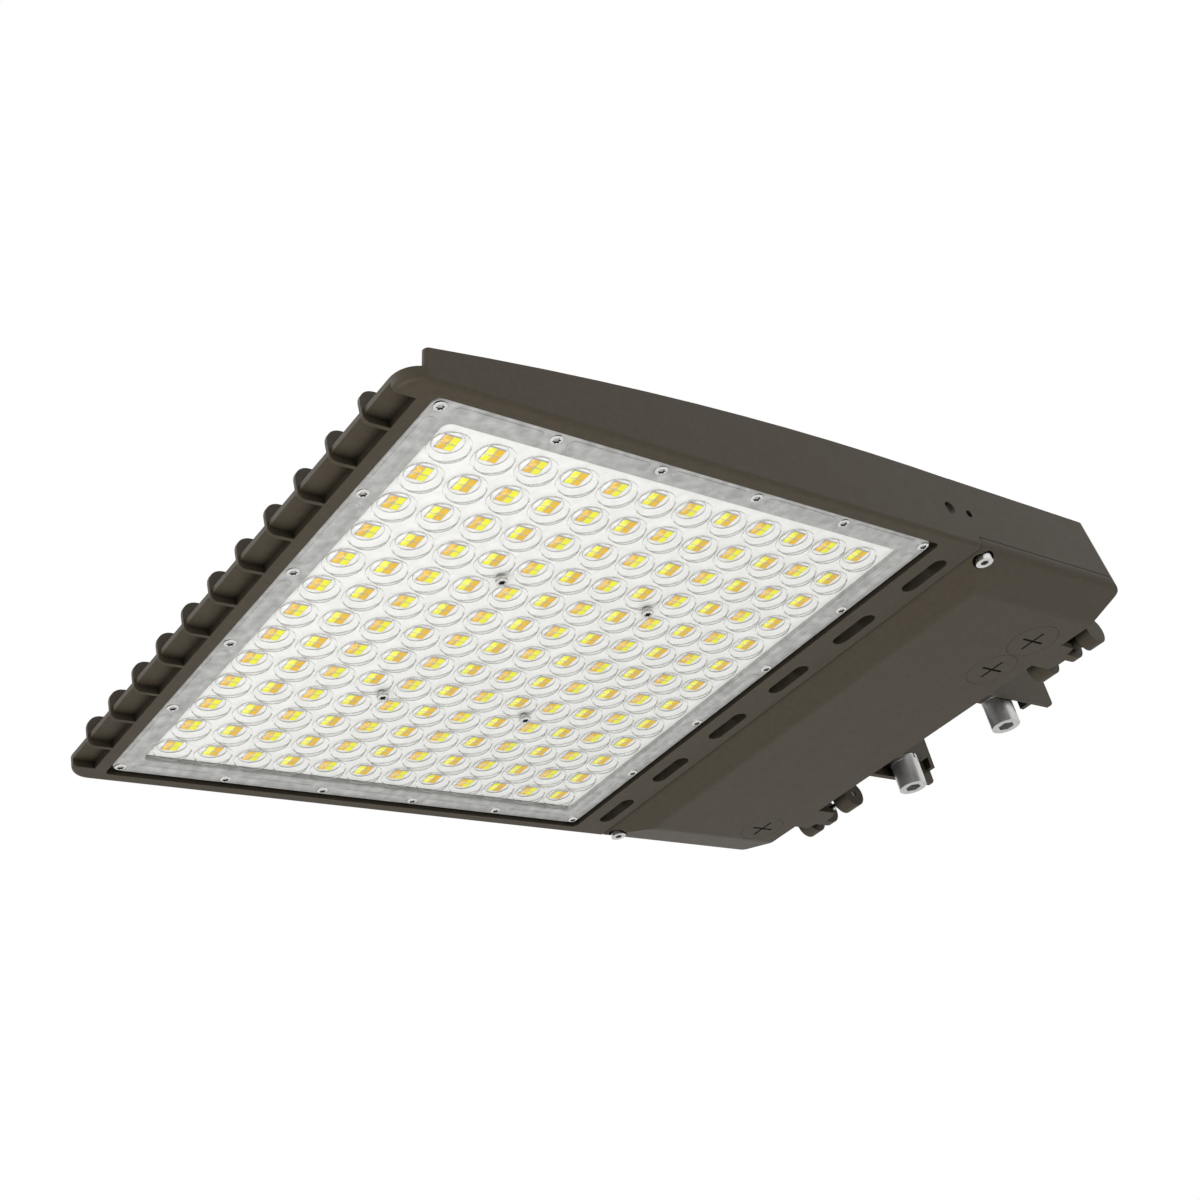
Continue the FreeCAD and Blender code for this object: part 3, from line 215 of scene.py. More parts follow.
class StageSettings(bpy.types.PropertyGroup):
    """Floor, lamps and camera."""

    floor_drop: bpy.props.FloatProperty(
        name="Floor drop", description="Floor below the mount", default=0.95, unit="LENGTH")
    fill: bpy.props.FloatProperty(
        name="Fill", description="Strength of the even light all round", default=0.8)
    camera_place: bpy.props.FloatVectorProperty(
        name="Camera place", description="Where the camera stands", subtype="TRANSLATION", size=3,
        default=(0.559446, -0.842400, -0.433922))
    camera_right: bpy.props.FloatVectorProperty(
        name="Camera right", description="Direction of the picture's right side", size=3,
        default=(0.59293803, 0.77396369, -0.22227165))
    camera_up: bpy.props.FloatVectorProperty(
        name="Camera up", description="Direction of the picture's top side", size=3,
        default=(0.53370727, -0.17103039, 0.82819391))
    lens: bpy.props.FloatProperty(
        name="Lens", description="Focal length on a 36 mm sensor, in millimetres", default=50.109)


# ---------------------------------------------------------------- material helpers
def add_node(tree, kind, sockets=None, **settings):
    """Add one shader node. sockets maps an input to a constant or to the output that feeds it."""
    node = tree.nodes.new(kind)
    for name, value in settings.items():
        setattr(node, name, value)
    for name, value in (sockets or {}).items():
        if isinstance(value, bpy.types.NodeSocket):
            tree.links.new(value, node.inputs[name])
        else:
            node.inputs[name].default_value = value
    return node


def new_material(name):
    """An empty node material with its output and the object coordinates."""
    material = bpy.data.materials.new(name)
    material.use_nodes = True
    tree = material.node_tree
    tree.nodes.clear()
    output = add_node(tree, "ShaderNodeOutputMaterial")
    place = add_node(tree, "ShaderNodeTexCoord").outputs["Object"]
    return material, tree, output, place


def ramp(tree, factor, stops):
    """A colour ramp with (position, colour) stops."""
    node = add_node(tree, "ShaderNodeValToRGB", {"Fac": factor})
    elements = node.color_ramp.elements
    elements[0].position, elements[0].color = stops[0]
    elements[1].position, elements[1].color = stops[-1]
    for position, colour in stops[1:-1]:
        elements.new(position).color = colour
    return node.outputs["Color"]


def grain(tree, place, size_mm, detail=2.0):
    """Noise whose grains are about size_mm across."""
    return add_node(tree, "ShaderNodeTexNoise", {
        "Vector": place, "Scale": 1 / (size_mm * MM), "Detail": detail})


def coated(name, light, dark, roughness, peel_mm=1.1, peel=0.02, shine=0.22, edge_mm=0.5, reach_mm=22.0):
    """Powder coat or paint: two close tones, softened edges, a fine orange peel and painted shade that
    darkens the crevices.
    """
    material, tree, output, place = new_material(name)
    colour = ramp(tree, grain(tree, place, 3.0, 4.0).outputs["Fac"], [(0.3, dark), (0.7, light)])
    # Painted shade: ambient occlusion within reach_mm multiplies the colour down to near black in crevices,
    # pockets, vents and gaps.
    open_sky = add_node(tree, "ShaderNodeAmbientOcclusion", {"Distance": reach_mm * MM}, samples=6)
    painted_crevice_shade = ramp(tree, open_sky.outputs["AO"], [(0.2, linear("#0E0E0E")), (0.8, linear("#FFFFFF"))])
    colour = add_node(tree, "ShaderNodeMix", {
        "Factor": 1.0, 6: colour, 7: painted_crevice_shade}, data_type="RGBA", blend_type="MULTIPLY").outputs[2]
    rough = add_node(tree, "ShaderNodeMapRange", {
        "Value": grain(tree, place, 9.0).outputs["Fac"],
        "To Min": roughness - 0.04, "To Max": roughness + 0.05})
    edges = add_node(tree, "ShaderNodeBevel", {"Radius": edge_mm * MM}, samples=4)
    bumps = add_node(tree, "ShaderNodeBump", {
        "Height": grain(tree, place, peel_mm, 3.0).outputs["Fac"], "Strength": peel, "Distance": 0.3 * MM,
        "Normal": edges.outputs["Normal"]})
    shader = add_node(tree, "ShaderNodeBsdfPrincipled", {
        "Base Color": colour, "Roughness": rough.outputs["Result"], "Normal": bumps.outputs["Normal"],
        "Specular IOR Level": shine})
    tree.links.new(shader.outputs["BSDF"], output.inputs["Surface"])
    return material


def moulded(name, light, dark, roughness, grain_mm=0.8, bump=0.03):
    """Moulded plastic or rubber: a fine spark-eroded grain and a faint change of tone."""
    material, tree, output, place = new_material(name)
    colour = ramp(tree, grain(tree, place, 6.0).outputs["Fac"], [(0.4, dark), (0.6, light)])
    bumps = add_node(tree, "ShaderNodeBump", {
        "Height": grain(tree, place, grain_mm, 3.0).outputs["Fac"], "Strength": bump, "Distance": 0.2 * MM})
    shader = add_node(tree, "ShaderNodeBsdfPrincipled", {
        "Base Color": colour, "Roughness": roughness, "Normal": bumps.outputs["Normal"]})
    tree.links.new(shader.outputs["BSDF"], output.inputs["Surface"])
    return material


def bare_metal(name, light, dark, roughness, streak_mm=3.0):
    """Bare or plated metal with a faint cloud in its tone and gloss."""
    material, tree, output, place = new_material(name)
    clouds = grain(tree, place, streak_mm, 3.0)
    colour = ramp(tree, clouds.outputs["Fac"], [(0.2, dark), (0.8, light)])
    rough = add_node(tree, "ShaderNodeMapRange", {
        "Value": clouds.outputs["Fac"], "To Min": roughness + 0.1, "To Max": roughness - 0.05})
    bumps = add_node(tree, "ShaderNodeBump", {
        "Height": grain(tree, place, 0.4).outputs["Fac"], "Strength": 0.02, "Distance": 0.1 * MM})
    shader = add_node(tree, "ShaderNodeBsdfPrincipled", {
        "Base Color": colour, "Metallic": 1.0, "Roughness": rough.outputs["Result"],
        "Normal": bumps.outputs["Normal"]})
    tree.links.new(shader.outputs["BSDF"], output.inputs["Surface"])
    return material


# ---------------------------------------------------------------- materials
def bronze_powder_coat():
    """Die-cast aluminium under dark bronze polyester powder: satin, with a fine orange peel."""
    finish = bpy.context.scene.finish_settings
    return coated("bronze_powder_coat", tuple(finish.paint), tuple(finish.paint_dark), 0.5)


def clear_polycarbonate():
    """Injection-moulded clear polycarbonate: thin walls that grey only where they are seen edge-on."""
    material, tree, output, place = new_material("clear_polycarbonate")
    ripple = add_node(tree, "ShaderNodeBump", {
        "Height": grain(tree, place, 5.0, 2.0).outputs["Fac"], "Strength": 0.25, "Distance": 0.3 * MM})
    slant = add_node(tree, "ShaderNodeLayerWeight", {"Blend": 0.5, "Normal": ripple.outputs["Normal"]})
    tint = ramp(tree, slant.outputs["Facing"], [
        (0.0, linear("#FDFDFD")), (0.6, linear("#FBFBFB")), (0.78, linear("#D2D2D0")),
        (0.95, linear("#767673"))])
    passing = add_node(tree, "ShaderNodeBsdfTransparent", {"Color": tint})
    polish = add_node(tree, "ShaderNodeBsdfGlossy", {
        "Color": linear("#FFFFFF"), "Roughness": 0.05, "Normal": ripple.outputs["Normal"]})
    gloss = ramp(tree, slant.outputs["Facing"], [
        (0.0, grey(0.04)), (0.6, grey(0.045)), (0.85, grey(0.3)), (1.0, grey(0.8))])
    mix = add_node(tree, "ShaderNodeMixShader", {
        0: gloss, 1: passing.outputs["BSDF"], 2: polish.outputs["BSDF"]})
    tree.links.new(mix.outputs["Shader"], output.inputs["Surface"])
    return material


def dull_polycarbonate():
    """The foot of each dome, where the mould's edge leaves the clear plastic dull."""
    material, tree, output, place = new_material("dull_polycarbonate")
    cover = ramp(tree, grain(tree, place, 4.0).outputs["Fac"], [
        (0.35, grey(0.25)), (0.65, grey(0.6))])
    haze = add_node(tree, "ShaderNodeBsdfDiffuse", {"Color": linear("#A6A6A2")})
    passing = add_node(tree, "ShaderNodeBsdfTransparent", {"Color": linear("#F6F6F5")})
    mix = add_node(tree, "ShaderNodeMixShader", {
        0: cover, 1: passing.outputs["BSDF"], 2: haze.outputs["BSDF"]})
    tree.links.new(mix.outputs["Shader"], output.inputs["Surface"])
    return material


def frosted_polycarbonate():
    """The etched rim of the same moulding over the dark casting: cloudy pale grey with fine streaks."""
    material, tree, output, place = new_material("frosted_polycarbonate")
    clouds = grain(tree, place, 6.0, 6.0)
    colour = ramp(tree, clouds.outputs["Fac"], [
        (0.25, linear("#8A8A88")), (0.5, linear("#9F9F9D")), (0.75, linear("#B4B4B2"))])
    bumps = add_node(tree, "ShaderNodeBump", {
        "Height": grain(tree, place, 1.6, 4.0).outputs["Fac"], "Strength": 0.3, "Distance": 0.3 * MM})
    shader = add_node(tree, "ShaderNodeBsdfPrincipled", {
        "Base Color": colour, "Roughness": 0.35, "IOR": 1.49, "Normal": bumps.outputs["Normal"]})
    tree.links.new(shader.outputs["BSDF"], output.inputs["Surface"])
    return material


def white_solder_mask():
    """Glass-fibre LED board under white solder mask: matt and bright."""
    finish = bpy.context.scene.finish_settings
    return moulded("white_solder_mask", tuple(finish.board), linear("#F4F4F1"), 0.5)


def phosphor(name, colour):
    """Silicone loaded with phosphor powder: flat, deep colour and slightly grainy."""
    dull = tuple(0.94 * c for c in colour[:3]) + (1.0,)
    return moulded(name, colour, dull, 0.85, grain_mm=0.3)


CAD_FINISHES = {
    "bronze": ["housing", "driver_cover", "power_port_plug", "distribution_port_plug", "sensor_port_plug"],
    "board": ["led_board"],
    "steel": ["lens_screws", "captive_screw_left", "captive_screw_right", "screw_retainers", "hinge_pin_left",
              "hinge_pin_right", "selector_screws", "driver_screws"],
    "zinc": ["mount_bolts", "lock_washers"],
    "grey_rubber": ["lens_gasket", "cover_gasket"],
    "black_rubber": ["port_seals", "led_grommet", "supply_grommet"],
    "green": ["selector_board"],
    "black_plastic": ["sensor_socket", "switch_cases", "surge_protector"],
    "white_plastic": ["power_slider", "cct_slider", "distribution_slider", "terminal_block"],
    "driver_case": ["led_driver"],
    "insulation": ["input_leads", "led_leads"],
    "earth": ["ground_lead"],
    "brass": ["ground_screw"],
}


def cad_materials():
    """One material for each finish of the CAD nodes."""
    return {
        "bronze": bronze_powder_coat(),
        "board": white_solder_mask(),
        "steel": bare_metal("stainless_steel", linear("#E6E5E3"), linear("#C9C8C6"), 0.22),
        "zinc": bare_metal("zinc_plated_steel", linear("#D6D6D5"), linear("#C2C2C1"), 0.36),
        "grey_rubber": moulded("silicone_rubber", linear("#8C8C89"), linear("#7E7E7B"), 0.7),
        "black_rubber": moulded("nitrile_rubber", linear("#1E1E1E"), linear("#171717"), 0.75),
        "green": coated("green_solder_mask", linear("#1F5A37"), linear("#194B2D"), 0.35, peel_mm=0.8),
        "black_plastic": moulded("black_nylon", linear("#232323"), linear("#1B1B1B"), 0.45),
        "white_plastic": moulded("white_nylon", linear("#E8E7E2"), linear("#DEDDD7"), 0.45),
        "driver_case": coated("grey_enamel", linear("#C9CACA"), linear("#BBBCBC"), 0.38),
        "insulation": moulded("lead_insulation", linear("#2A2A2A"), linear("#202020"), 0.4),
        "earth": moulded("earth_insulation", linear("#2F7A3A"), linear("#276B31"), 0.4),
        "brass": bare_metal("brass", linear("#C9A45A"), linear("#A98543"), 0.3),
    }


def set_material(piece, material):
    """Give the whole piece one material."""
    piece.data.materials.clear()
    piece.data.materials.append(material)


# ---------------------------------------------------------------- mesh helpers
def finish_mesh(bm, name, material, body, smooth_angle=35.0, second=None):
    """Turn a bmesh into a piece in place, riding on its body. Some faces may have a second material."""
    bmesh.ops.remove_doubles(bm, verts=bm.verts, dist=WELD)
    bmesh.ops.recalc_face_normals(bm, faces=bm.faces)
    mesh = bpy.data.meshes.new(name)
    bm.to_mesh(mesh)
    bm.free()
    piece = bpy.data.objects.new(name, mesh)
    bpy.context.scene.collection.objects.link(piece)
    mesh.shade_smooth()
    mesh.set_sharp_from_angle(angle=math.radians(smooth_angle))
    mesh.materials.append(material)
    if second:
        mesh.materials.append(second)
    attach(piece, body)
    return piece


def verts_in(geometry):
    """The vertices among the geometry that an operator made."""
    return [part for part in geometry if isinstance(part, bmesh.types.BMVert)]


def extrude_loop(bm, edges):
    """Extrude a loop of edges in place. Gives the new edges and their vertices."""
    made = bmesh.ops.extrude_edge_only(bm, edges=edges)["geom"]
    return [part for part in made if isinstance(part, bmesh.types.BMEdge)], verts_in(made)


def ring(bm, segments, radius, z):
    """A circle of edges about the Z axis."""
    made = bmesh.ops.create_circle(
        bm, cap_ends=False, segments=segments, radius=radius, matrix=Matrix.Translation((0, 0, z)))
    return list({e for v in made["verts"] for e in v.link_edges})


def lies_at(edge, z):
    """Whether both ends of an edge are at this height."""
    return all(abs(v.co.z - z) < LEVEL for v in edge.verts)


def grow(bm, edges, scale, lift):
    """Extrude a loop of edges, scale it about the Z axis and move it along Z. Gives the new edges."""
    edges, verts = extrude_loop(bm, edges)
    bmesh.ops.scale(bm, vec=(scale, scale, 1), verts=verts)
    bmesh.ops.translate(bm, vec=(0, 0, lift), verts=verts)
    return edges


def close(bm, edges):
    """Close a loop of edges with one face."""
    bmesh.ops.edgeloop_fill(bm, edges=edges)


def copies(bm, places):
    """Copy all that the bmesh holds to each place, and drop the first."""
    first = list(bm.verts) + list(bm.edges) + list(bm.faces)
    for place in places:
        made = bmesh.ops.duplicate(bm, geom=first)["geom"]
        bmesh.ops.translate(bm, vec=place, verts=verts_in(made))
    bmesh.ops.delete(bm, geom=verts_in(first), context="VERTS")


# ---------------------------------------------------------------- lens plate
def cell_grid(lens):
    """Centres of the lens cells and the size of one cell."""
    low = Vector(map(min, WARM_LOW, COOL_LOW))
    high = Vector(map(max, WARM_HIGH, COOL_HIGH))
    mid = (low + high) / 2
    columns = [mid.x + (i - (lens.cells_across - 1) / 2) * lens.pitch_x for i in range(lens.cells_across)]
    rows = [mid.y + (j - (lens.cells_along - 1) / 2) * lens.pitch_y for j in range(lens.cells_along)]
    return [(x, y) for x in columns for y in rows], (lens.pitch_x, lens.pitch_y)


def skin(bm, profile, width, length, height, z, cell):
    """One cell of a skin: a square margin round a dome that rises from it, with a marked edge at its foot."""
    edges = ring(bm, CELL_SEGMENTS, 1.0, z)
    verts = {v for e in edges for v in e.verts}
    bmesh.ops.scale(bm, vec=(width / 2, length / 2, 1), verts=list(verts))
    for v in extrude_loop(bm, edges)[1]:
        turn = math.atan2(v.co.y / length, v.co.x / width)
        reach = max(abs(math.cos(turn)), abs(math.sin(turn)))
        v.co.x = math.cos(turn) / reach * cell[0] / 2
        v.co.y = math.sin(turn) / reach * cell[1] / 2
    share, level = profile[0]
    for next_share, next_level in profile[1:]:
        scale = next_share / share
        known = set(bm.faces)
        edges = grow(bm, edges, scale, (next_level - level) * height)
        for face in set(bm.faces) - known:
            face.material_index = 1 if share == 1.0 else 0
        share, level = next_share, next_level
    close(bm, edges)


def clear_field(lens, material, edge_material):
    """The clear middle of the lens plate: domes below, pockets over the LEDs above, one closed shell."""
    centres, cell = cell_grid(lens)
    face = LENS_HIGH.z - lens.thickness
    bm = bmesh.new()
    skin(bm, DOME_PROFILE, lens.dome_width, lens.dome_length, -lens.dome_height, face, cell)
    back = LENS_HIGH.z - lens.board_gap
    skin(bm, POCKET_PROFILE, lens.dome_width * lens.pocket_share, lens.dome_length * lens.pocket_share,
         -lens.pocket_depth, back, cell)
    copies(bm, [(x, y, 0) for x, y in centres])
    bmesh.ops.remove_doubles(bm, verts=bm.verts, dist=CELL_WELD)
    rim = lens.rim_width + FIELD_GAP
    low = (LENS_LOW.x + rim, LENS_LOW.y + rim)
    high = (LENS_HIGH.x - rim, LENS_HIGH.y - rim)
    border = {v for e in bm.edges if e.is_boundary for v in e.verts}
    grid_low = [min(v.co[k] for v in border) for k in (0, 1)]
    grid_high = [max(v.co[k] for v in border) for k in (0, 1)]
    for v in border:
        for k in (0, 1):
            if abs(v.co[k] - grid_low[k]) < ON_BORDER:
                v.co[k] = low[k]
            elif abs(v.co[k] - grid_high[k]) < ON_BORDER:
                v.co[k] = high[k]
    for v in bm.verts:
        v.co.y = min(max(v.co.y, low[1]), high[1])
    back_edges = [e for e in bm.edges if e.is_boundary and lies_at(e, back)]
    wall = extrude_loop(bm, back_edges)[1]
    bmesh.ops.translate(bm, vec=(0, 0, face - back), verts=wall)
    piece = finish_mesh(bm, "clear_lens_field", material, "head", 50.0, edge_material)
    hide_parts("lens_plate")
    return piece


def plate(bm, x0, x1, y0, y1, z0, z1):
    """A plain block."""
    size = Matrix.Diagonal((x1 - x0, y1 - y0, z1 - z0, 1))
    place = Matrix.Translation(((x0 + x1) / 2, (y0 + y1) / 2, (z0 + z1) / 2))
    bmesh.ops.create_cube(bm, size=1.0, matrix=place @ size)


def phosphor_faces(lens, leds, name, material, amber, z0, z1, replaced):
    """The packages of one colour, a large and a small one in each cell. The colours swap ends row by row."""
    bm = bmesh.new()
    half = leds.span / 2
    near = leds.line / 2
    for index, (x, y) in enumerate(cell_grid(lens)[0]):
        in_front = (index % lens.cells_along % 2 == 0) == amber
        y0, y1 = (-near - leds.depth, -near) if in_front else (near, near + leds.depth)
        plate(bm, x - half, x - half + leds.small, y + y0, y + y1, z0, z1)
        plate(bm, x - half + leds.small + leds.line, x + half, y + y0, y + y1, z0, z1)
    piece = finish_mesh(bm, name, material, "head")
    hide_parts(replaced)
    return piece


def package_bodies(lens, leds, material):
    """The pale ceramic that shows between the phosphor faces."""
    bm = bmesh.new()
    x_reach = leds.span / 2 + leds.line / 2
    y_reach = leds.depth + leds.line
    for x, y in cell_grid(lens)[0]:
        plate(bm, x - x_reach, x + x_reach, y - y_reach, y + y_reach,
              WARM_LOW.z + PACKAGE_SET_BACK, WARM_HIGH.z)
    piece = finish_mesh(bm, "led_package_bodies", material, "head")
    return piece


def rounded_face(bm, x0, x1, y0, y1, z, radius):
    """A flat face with round corners."""
    corners = [bm.verts.new(p) for p in ((x0, y0, z), (x1, y0, z), (x1, y1, z), (x0, y1, z))]
    bm.faces.new(corners)
    bmesh.ops.bevel(bm, geom=corners, offset=radius, affect="VERTICES", segments=CORNER_SEGMENTS, profile=0.5,
                    offset_type="OFFSET", material=-1)


def rounded_loop(bm, x0, x1, y0, y1, z, radius):
    """The edges of a rectangle with round corners."""
    before = set(bm.edges)
    rounded_face(bm, x0, x1, y0, y1, z, radius)
    edges = [e for e in bm.edges if e not in before]
    bmesh.ops.delete(bm, geom=list(edges[0].link_faces), context="FACES_ONLY")
    return edges


def thicken(bm, faces, lift):
    """Pull faces along Z into a solid slab."""
    made = bmesh.ops.extrude_face_region(bm, geom=faces)["geom"]
    bmesh.ops.translate(bm, vec=(0, 0, lift), verts=verts_in(made))


def add_pad(target, x0, x1, y0, y1, rim_face):
    """Add one raised pad of the rim, with round corners and an eased lower edge."""
    z0, z1 = rim_face - PAD_RISE, LENS_HIGH.z - PAD_ROOT
    bm = bmesh.new()
    rounded_face(bm, x0, x1, y0, y1, z1, PAD_CORNER)
    thicken(bm, list(bm.faces), z0 - z1)
    lower = [e for e in bm.edges if lies_at(e, z0)]
    bmesh.ops.bevel(bm, geom=lower, offset=PAD_EDGE, affect="EDGES", segments=2, profile=0.5, material=-1)
    mesh = bpy.data.meshes.new("pad")
    bm.to_mesh(mesh)
    bm.free()
    target.from_mesh(mesh)
    bpy.data.meshes.remove(mesh)


def screw_lines(lens):
    """Places of the screws across the head, and of those along it, corner to corner."""
    x = SCREWS_HIGH.x - lens.head_radius
    y0 = SCREWS_LOW.y + lens.head_radius
    y1 = SCREWS_HIGH.y - lens.head_radius
    last = lens.screws_per_side - 1
    return ([-x + 2 * x * i / last for i in range(last + 1)],
            [y0 + (y1 - y0) * i / last for i in range(last + 1)])


def rim_screw_centres(lens):
    """Screw axes along the rim of the lens plate."""
    across, along = screw_lines(lens)
    return ([(x, y) for x in across for y in (along[0], along[-1])]
            + [(x, y) for y in along[1:-1] for x in (across[0], across[-1])])


def frosted_rim(lens, material):
    """The rim of the lens plate, with raised pads between its screws."""
    rim_face = LENS_HIGH.z - lens.thickness - lens.rim_step
    bm = bmesh.new()
    loops = []
    for inset, corner in ((0.0, lens.rim_corner), (lens.rim_width, lens.field_corner)):
        loops += rounded_loop(bm, LENS_LOW.x + inset, LENS_HIGH.x - inset, LENS_LOW.y + inset,
                              LENS_HIGH.y - inset, LENS_HIGH.z, corner)
    bmesh.ops.bridge_loops(bm, edges=loops)
    thicken(bm, list(bm.faces), rim_face - LENS_HIGH.z)
    lower = [e for e in bm.edges if lies_at(e, rim_face) and e.calc_face_angle(0) > 1]
    bmesh.ops.bevel(bm, geom=lower, offset=RIM_EDGE, affect="EDGES", segments=3, profile=0.5, material=-1)
    across, along = screw_lines(lens)
    for start, end in zip(across, across[1:]):
        for y0, y1 in ((LENS_LOW.y + PAD_NEAR, LENS_LOW.y + PAD_FAR),
                       (LENS_HIGH.y - PAD_FAR, LENS_HIGH.y - PAD_NEAR)):
            add_pad(bm, start + PAD_END_GAP, end - PAD_END_GAP, y0, y1, rim_face)
    for start, end in zip(along, along[1:]):
        for x0, x1 in ((LENS_LOW.x + PAD_NEAR, LENS_LOW.x + PAD_FAR),
                       (LENS_HIGH.x - PAD_FAR, LENS_HIGH.x - PAD_NEAR)):
            add_pad(bm, x0, x1, start + PAD_END_GAP, end - PAD_END_GAP, rim_face)
    piece = finish_mesh(bm, "frosted_lens_rim", material, "head")
    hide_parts("lens_plate")
    return piece


def lens_screws(lens, steel, dark):
    """Pan head screws with six-point recesses, along the rim and in the field."""
    field, step = cell_grid(lens)
    mid = sum((Vector((*place, 0)) for place in field), Vector()) / len(field)
    inner = [(mid.x + i * lens.inner_columns * step[0], mid.y + j * lens.inner_rows * step[1])
             for i in (-1, 1) for j in (-1, 1)]
    radius = lens.head_radius
    low = SCREWS_LOW.z
    bm = bmesh.new()
    edges = ring(bm, HEAD_SEGMENTS, radius, low + lens.head_height)
    edges = grow(bm, edges, 1.0, -HEAD_WALL * lens.head_height)
    for share, level in HEAD_PROFILE:
        edges, verts = extrude_loop(bm, edges)
        for v in verts:
            v.co.xy = v.co.xy.normalized() * radius * share
            v.co.z = low + level * lens.head_height
    edges, verts = extrude_loop(bm, edges)
    for v in verts:
        turn = math.atan2(v.co.y, v.co.x)
        share = 1 - KEY_WAVE + KEY_WAVE * math.cos(KEY_POINTS * turn)
        v.co.xy = v.co.xy.normalized() * lens.key_radius * share
    shell = len(bm.faces)
    edges = grow(bm, edges, KEY_TAPER, lens.key_depth)
    close(bm, edges)
    bm.faces.ensure_lookup_table()
    for face in bm.faces[shell:]:
        face.material_index = 1
    copies(bm, [(x, y, 0) for x, y in rim_screw_centres(lens) + inner])
    piece = finish_mesh(bm, "lens_screw_heads", steel, "head", 30.0, dark)
    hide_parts("lens_screws")
    return piece


class AREALIGHT_OT_lens_plate(bpy.types.Operator):
    """Model the clear lens plate with its domes, frosted rim and screws"""

    bl_idname = "area_light.lens_plate"
    bl_label = "Lens plate"

    def execute(self, context):
        lens = context.scene.lens_settings
        clear_field(lens, clear_polycarbonate(), dull_polycarbonate())
        frosted_rim(lens, frosted_polycarbonate())
        steel = bare_metal("polished_stainless_steel", linear("#F2F1EF"), linear("#DAD9D7"), 0.18)
        lens_screws(lens, steel, moulded("recess_shadow", linear("#0C0C0C"), linear("#080808"), 0.8))
        return {"FINISHED"}


class AREALIGHT_OT_packages(bpy.types.Operator):
    """Model the LED packages"""

    bl_idname = "area_light.packages"
    bl_label = "LED packages"

    def execute(self, context):
        scene = context.scene
        lens, leds, finish = scene.lens_settings, scene.package_settings, scene.finish_settings
        phosphor_faces(lens, leds, "warm_phosphor", phosphor("amber_phosphor", tuple(finish.warm)), True,
                       WARM_LOW.z, WARM_HIGH.z, "warm_leds")
        phosphor_faces(lens, leds, "cool_phosphor", phosphor("yellow_phosphor", tuple(finish.cool)), False,
                       COOL_LOW.z, COOL_HIGH.z, "cool_leds")
        package_bodies(lens, leds, moulded("package_ceramic", linear("#B4B4C2"), linear("#A9A9B8"), 0.4))
        return {"FINISHED"}


class AREALIGHT_OT_finishes(bpy.types.Operator):
    """Give the carried-over parts their finishes"""

    bl_idname = "area_light.finishes"
    bl_label = "Finishes"

    def execute(self, context):
        materials = cad_materials()
        for finish, names in CAD_FINISHES.items():
            for name in names:
                set_material(NODES[name], materials[finish])
        return {"FINISHED"}


# ---------------------------------------------------------------- stage
def soft_lamp(name, place, width, power):
    """A square soft lamp that points at the middle of the object."""
    data = bpy.data.lights.new(name, "AREA")
    data.shape = "SQUARE"
    data.size = width
    data.energy = power
    lamp = bpy.data.objects.new(name, data)
    lamp.location = place
    lamp.rotation_euler = (Vector(MIDDLE) - Vector(place)).to_track_quat("-Z", "Y").to_euler()
    lamp.visible_camera = False
    bpy.context.scene.collection.objects.link(lamp)


def white_world(fill):
    """White where the camera, a reflection or clear plastic sees it, and an even fill elsewhere."""
    world = bpy.data.worlds.new("studio")
    bpy.context.scene.world = world
    world.use_nodes = True
    tree = world.node_tree
    tree.nodes.clear()
    output = add_node(tree, "ShaderNodeOutputWorld")
    path = add_node(tree, "ShaderNodeLightPath")
    seen = add_node(tree, "ShaderNodeMath", {
        0: path.outputs["Is Camera Ray"], 1: path.outputs["Is Glossy Ray"]}, operation="MAXIMUM")
    seen = add_node(tree, "ShaderNodeMath", {
        0: seen.outputs[0], 1: path.outputs["Is Transmission Ray"]}, operation="MAXIMUM")
    even = add_node(tree, "ShaderNodeBackground", {"Color": linear("#FFFFFF"), "Strength": fill})
    white = add_node(tree, "ShaderNodeBackground", {"Color": linear("#FFFFFF"), "Strength": 1.0})
    mix = add_node(tree, "ShaderNodeMixShader", {
        0: seen.outputs[0], 1: even.outputs["Background"], 2: white.outputs["Background"]})
    tree.links.new(mix.outputs["Shader"], output.inputs["Surface"])


def pale_floor(stage):
    """A plain pale floor far below the hanging head."""
    bm = bmesh.new()
    bmesh.ops.create_grid(bm, x_segments=1, y_segments=1, size=FLOOR_REACH,
                          matrix=Matrix.Translation((MIDDLE[0], MIDDLE[1], -stage.floor_drop)))
    mesh = bpy.data.meshes.new("floor")
    bm.to_mesh(mesh)
    bm.free()
    floor = bpy.data.objects.new("floor", mesh)
    bpy.context.scene.collection.objects.link(floor)
    material, tree, output, _ = new_material("pale_floor")
    shader = add_node(tree, "ShaderNodeBsdfPrincipled", {"Base Color": linear("#F4F4F3"), "Roughness": 0.9})
    tree.links.new(shader.outputs["BSDF"], output.inputs["Surface"])
    mesh.materials.append(material)


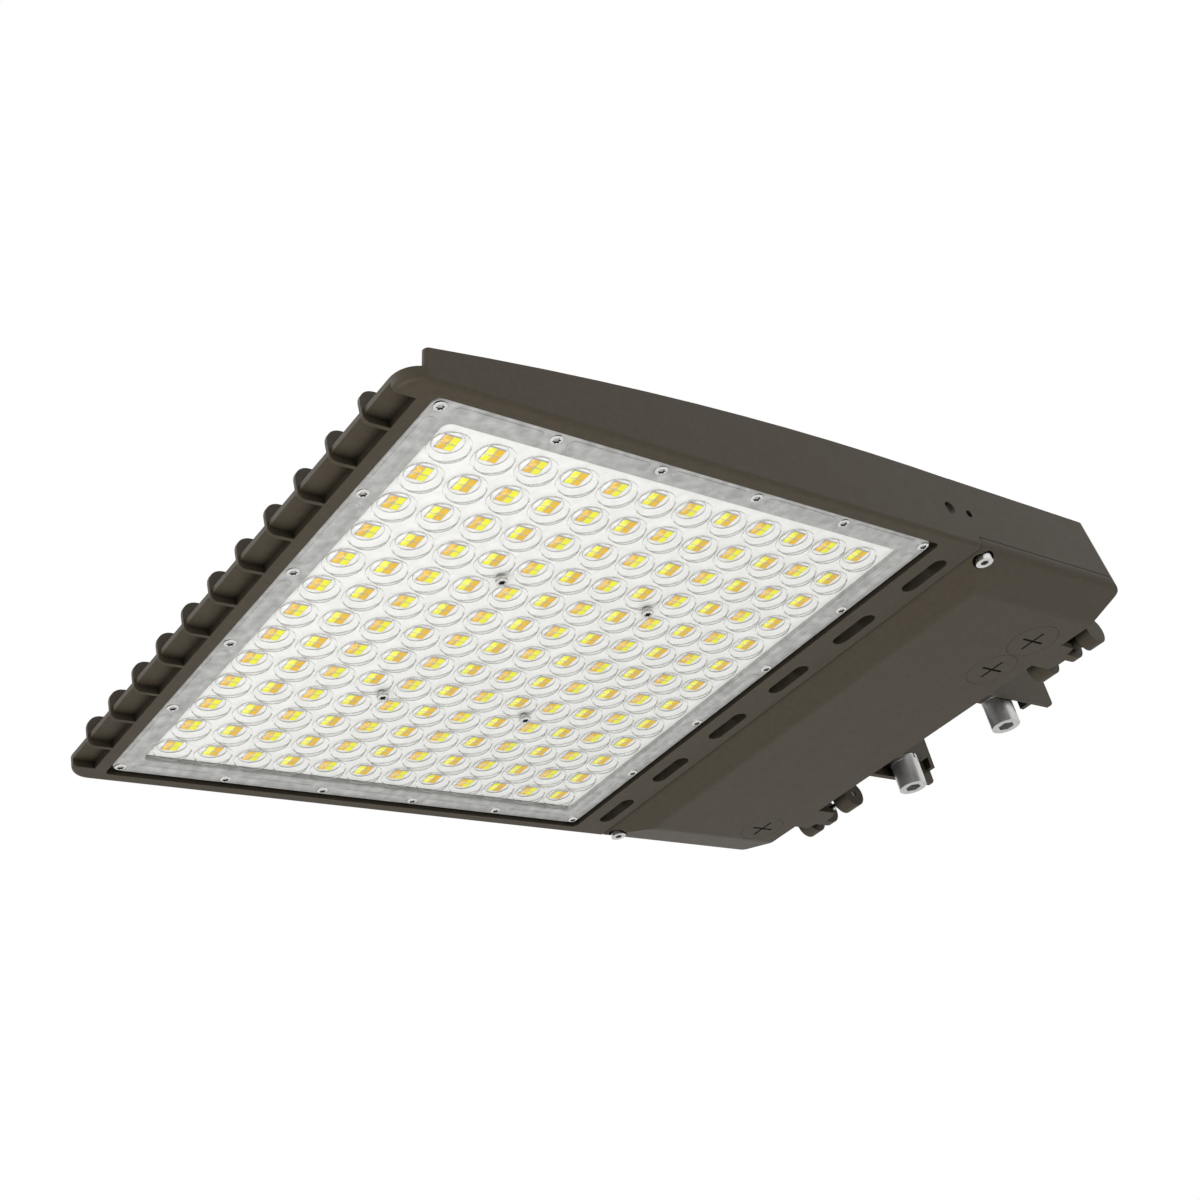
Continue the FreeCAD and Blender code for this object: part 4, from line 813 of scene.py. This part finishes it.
class AREALIGHT_OT_stage(bpy.types.Operator):
    """Set up the floor, the lamps, the white surroundings and the camera"""

    bl_idname = "area_light.stage"
    bl_label = "Stage"

    def execute(self, context):
        stage = context.scene.stage_settings
        context.scene.view_settings.view_transform = "Standard"
        white_world(stage.fill)
        pale_floor(stage)
        for name, place, width, power in LAMPS:
            soft_lamp(name, place, width, power)
        data = bpy.data.cameras.new("camera")
        data.lens = stage.lens
        data.sensor_width = SENSOR_WIDTH
        camera = bpy.data.objects.new("camera", data)
        right = Vector(stage.camera_right)
        up = Vector(stage.camera_up)
        turn = Matrix((right, up, right.cross(up))).transposed()
        camera.matrix_world = Matrix.Translation(stage.camera_place) @ turn.to_4x4()
        context.scene.collection.objects.link(camera)
        context.scene.camera = camera
        return {"FINISHED"}


# ---------------------------------------------------------------- panel and registration
OPERATORS = (AREALIGHT_OT_finishes, AREALIGHT_OT_lens_plate, AREALIGHT_OT_packages, AREALIGHT_OT_stage)
GROUPS = {
    "lens_settings": LensSettings,
    "package_settings": PackageSettings,
    "finish_settings": FinishSettings,
    "stage_settings": StageSettings,
}


class AREALIGHT_PT_panel(bpy.types.Panel):
    """Buttons for each step and the sizes and colours behind them"""

    bl_label = "Area light"
    bl_space_type = "VIEW_3D"
    bl_region_type = "UI"
    bl_category = "Area light"

    def draw(self, context):
        for operator in OPERATORS:
            self.layout.operator(operator.bl_idname)
        for name, group in GROUPS.items():
            box = self.layout.box()
            for size in group.__annotations__:
                box.prop(getattr(context.scene, name), size)


def register():
    for cls in (*GROUPS.values(), *OPERATORS, AREALIGHT_PT_panel):
        bpy.utils.register_class(cls)
    for name, group in GROUPS.items():
        setattr(bpy.types.Scene, name, bpy.props.PointerProperty(type=group))


def unregister():
    for name in GROUPS:
        delattr(bpy.types.Scene, name)
    for cls in reversed((*GROUPS.values(), *OPERATORS, AREALIGHT_PT_panel)):
        bpy.utils.unregister_class(cls)


def main():
    """Run every step in order."""
    register()
    bpy.ops.area_light.finishes()
    bpy.ops.area_light.lens_plate()
    bpy.ops.area_light.packages()
    bpy.ops.area_light.stage()


if __name__ == "__main__":
    main()
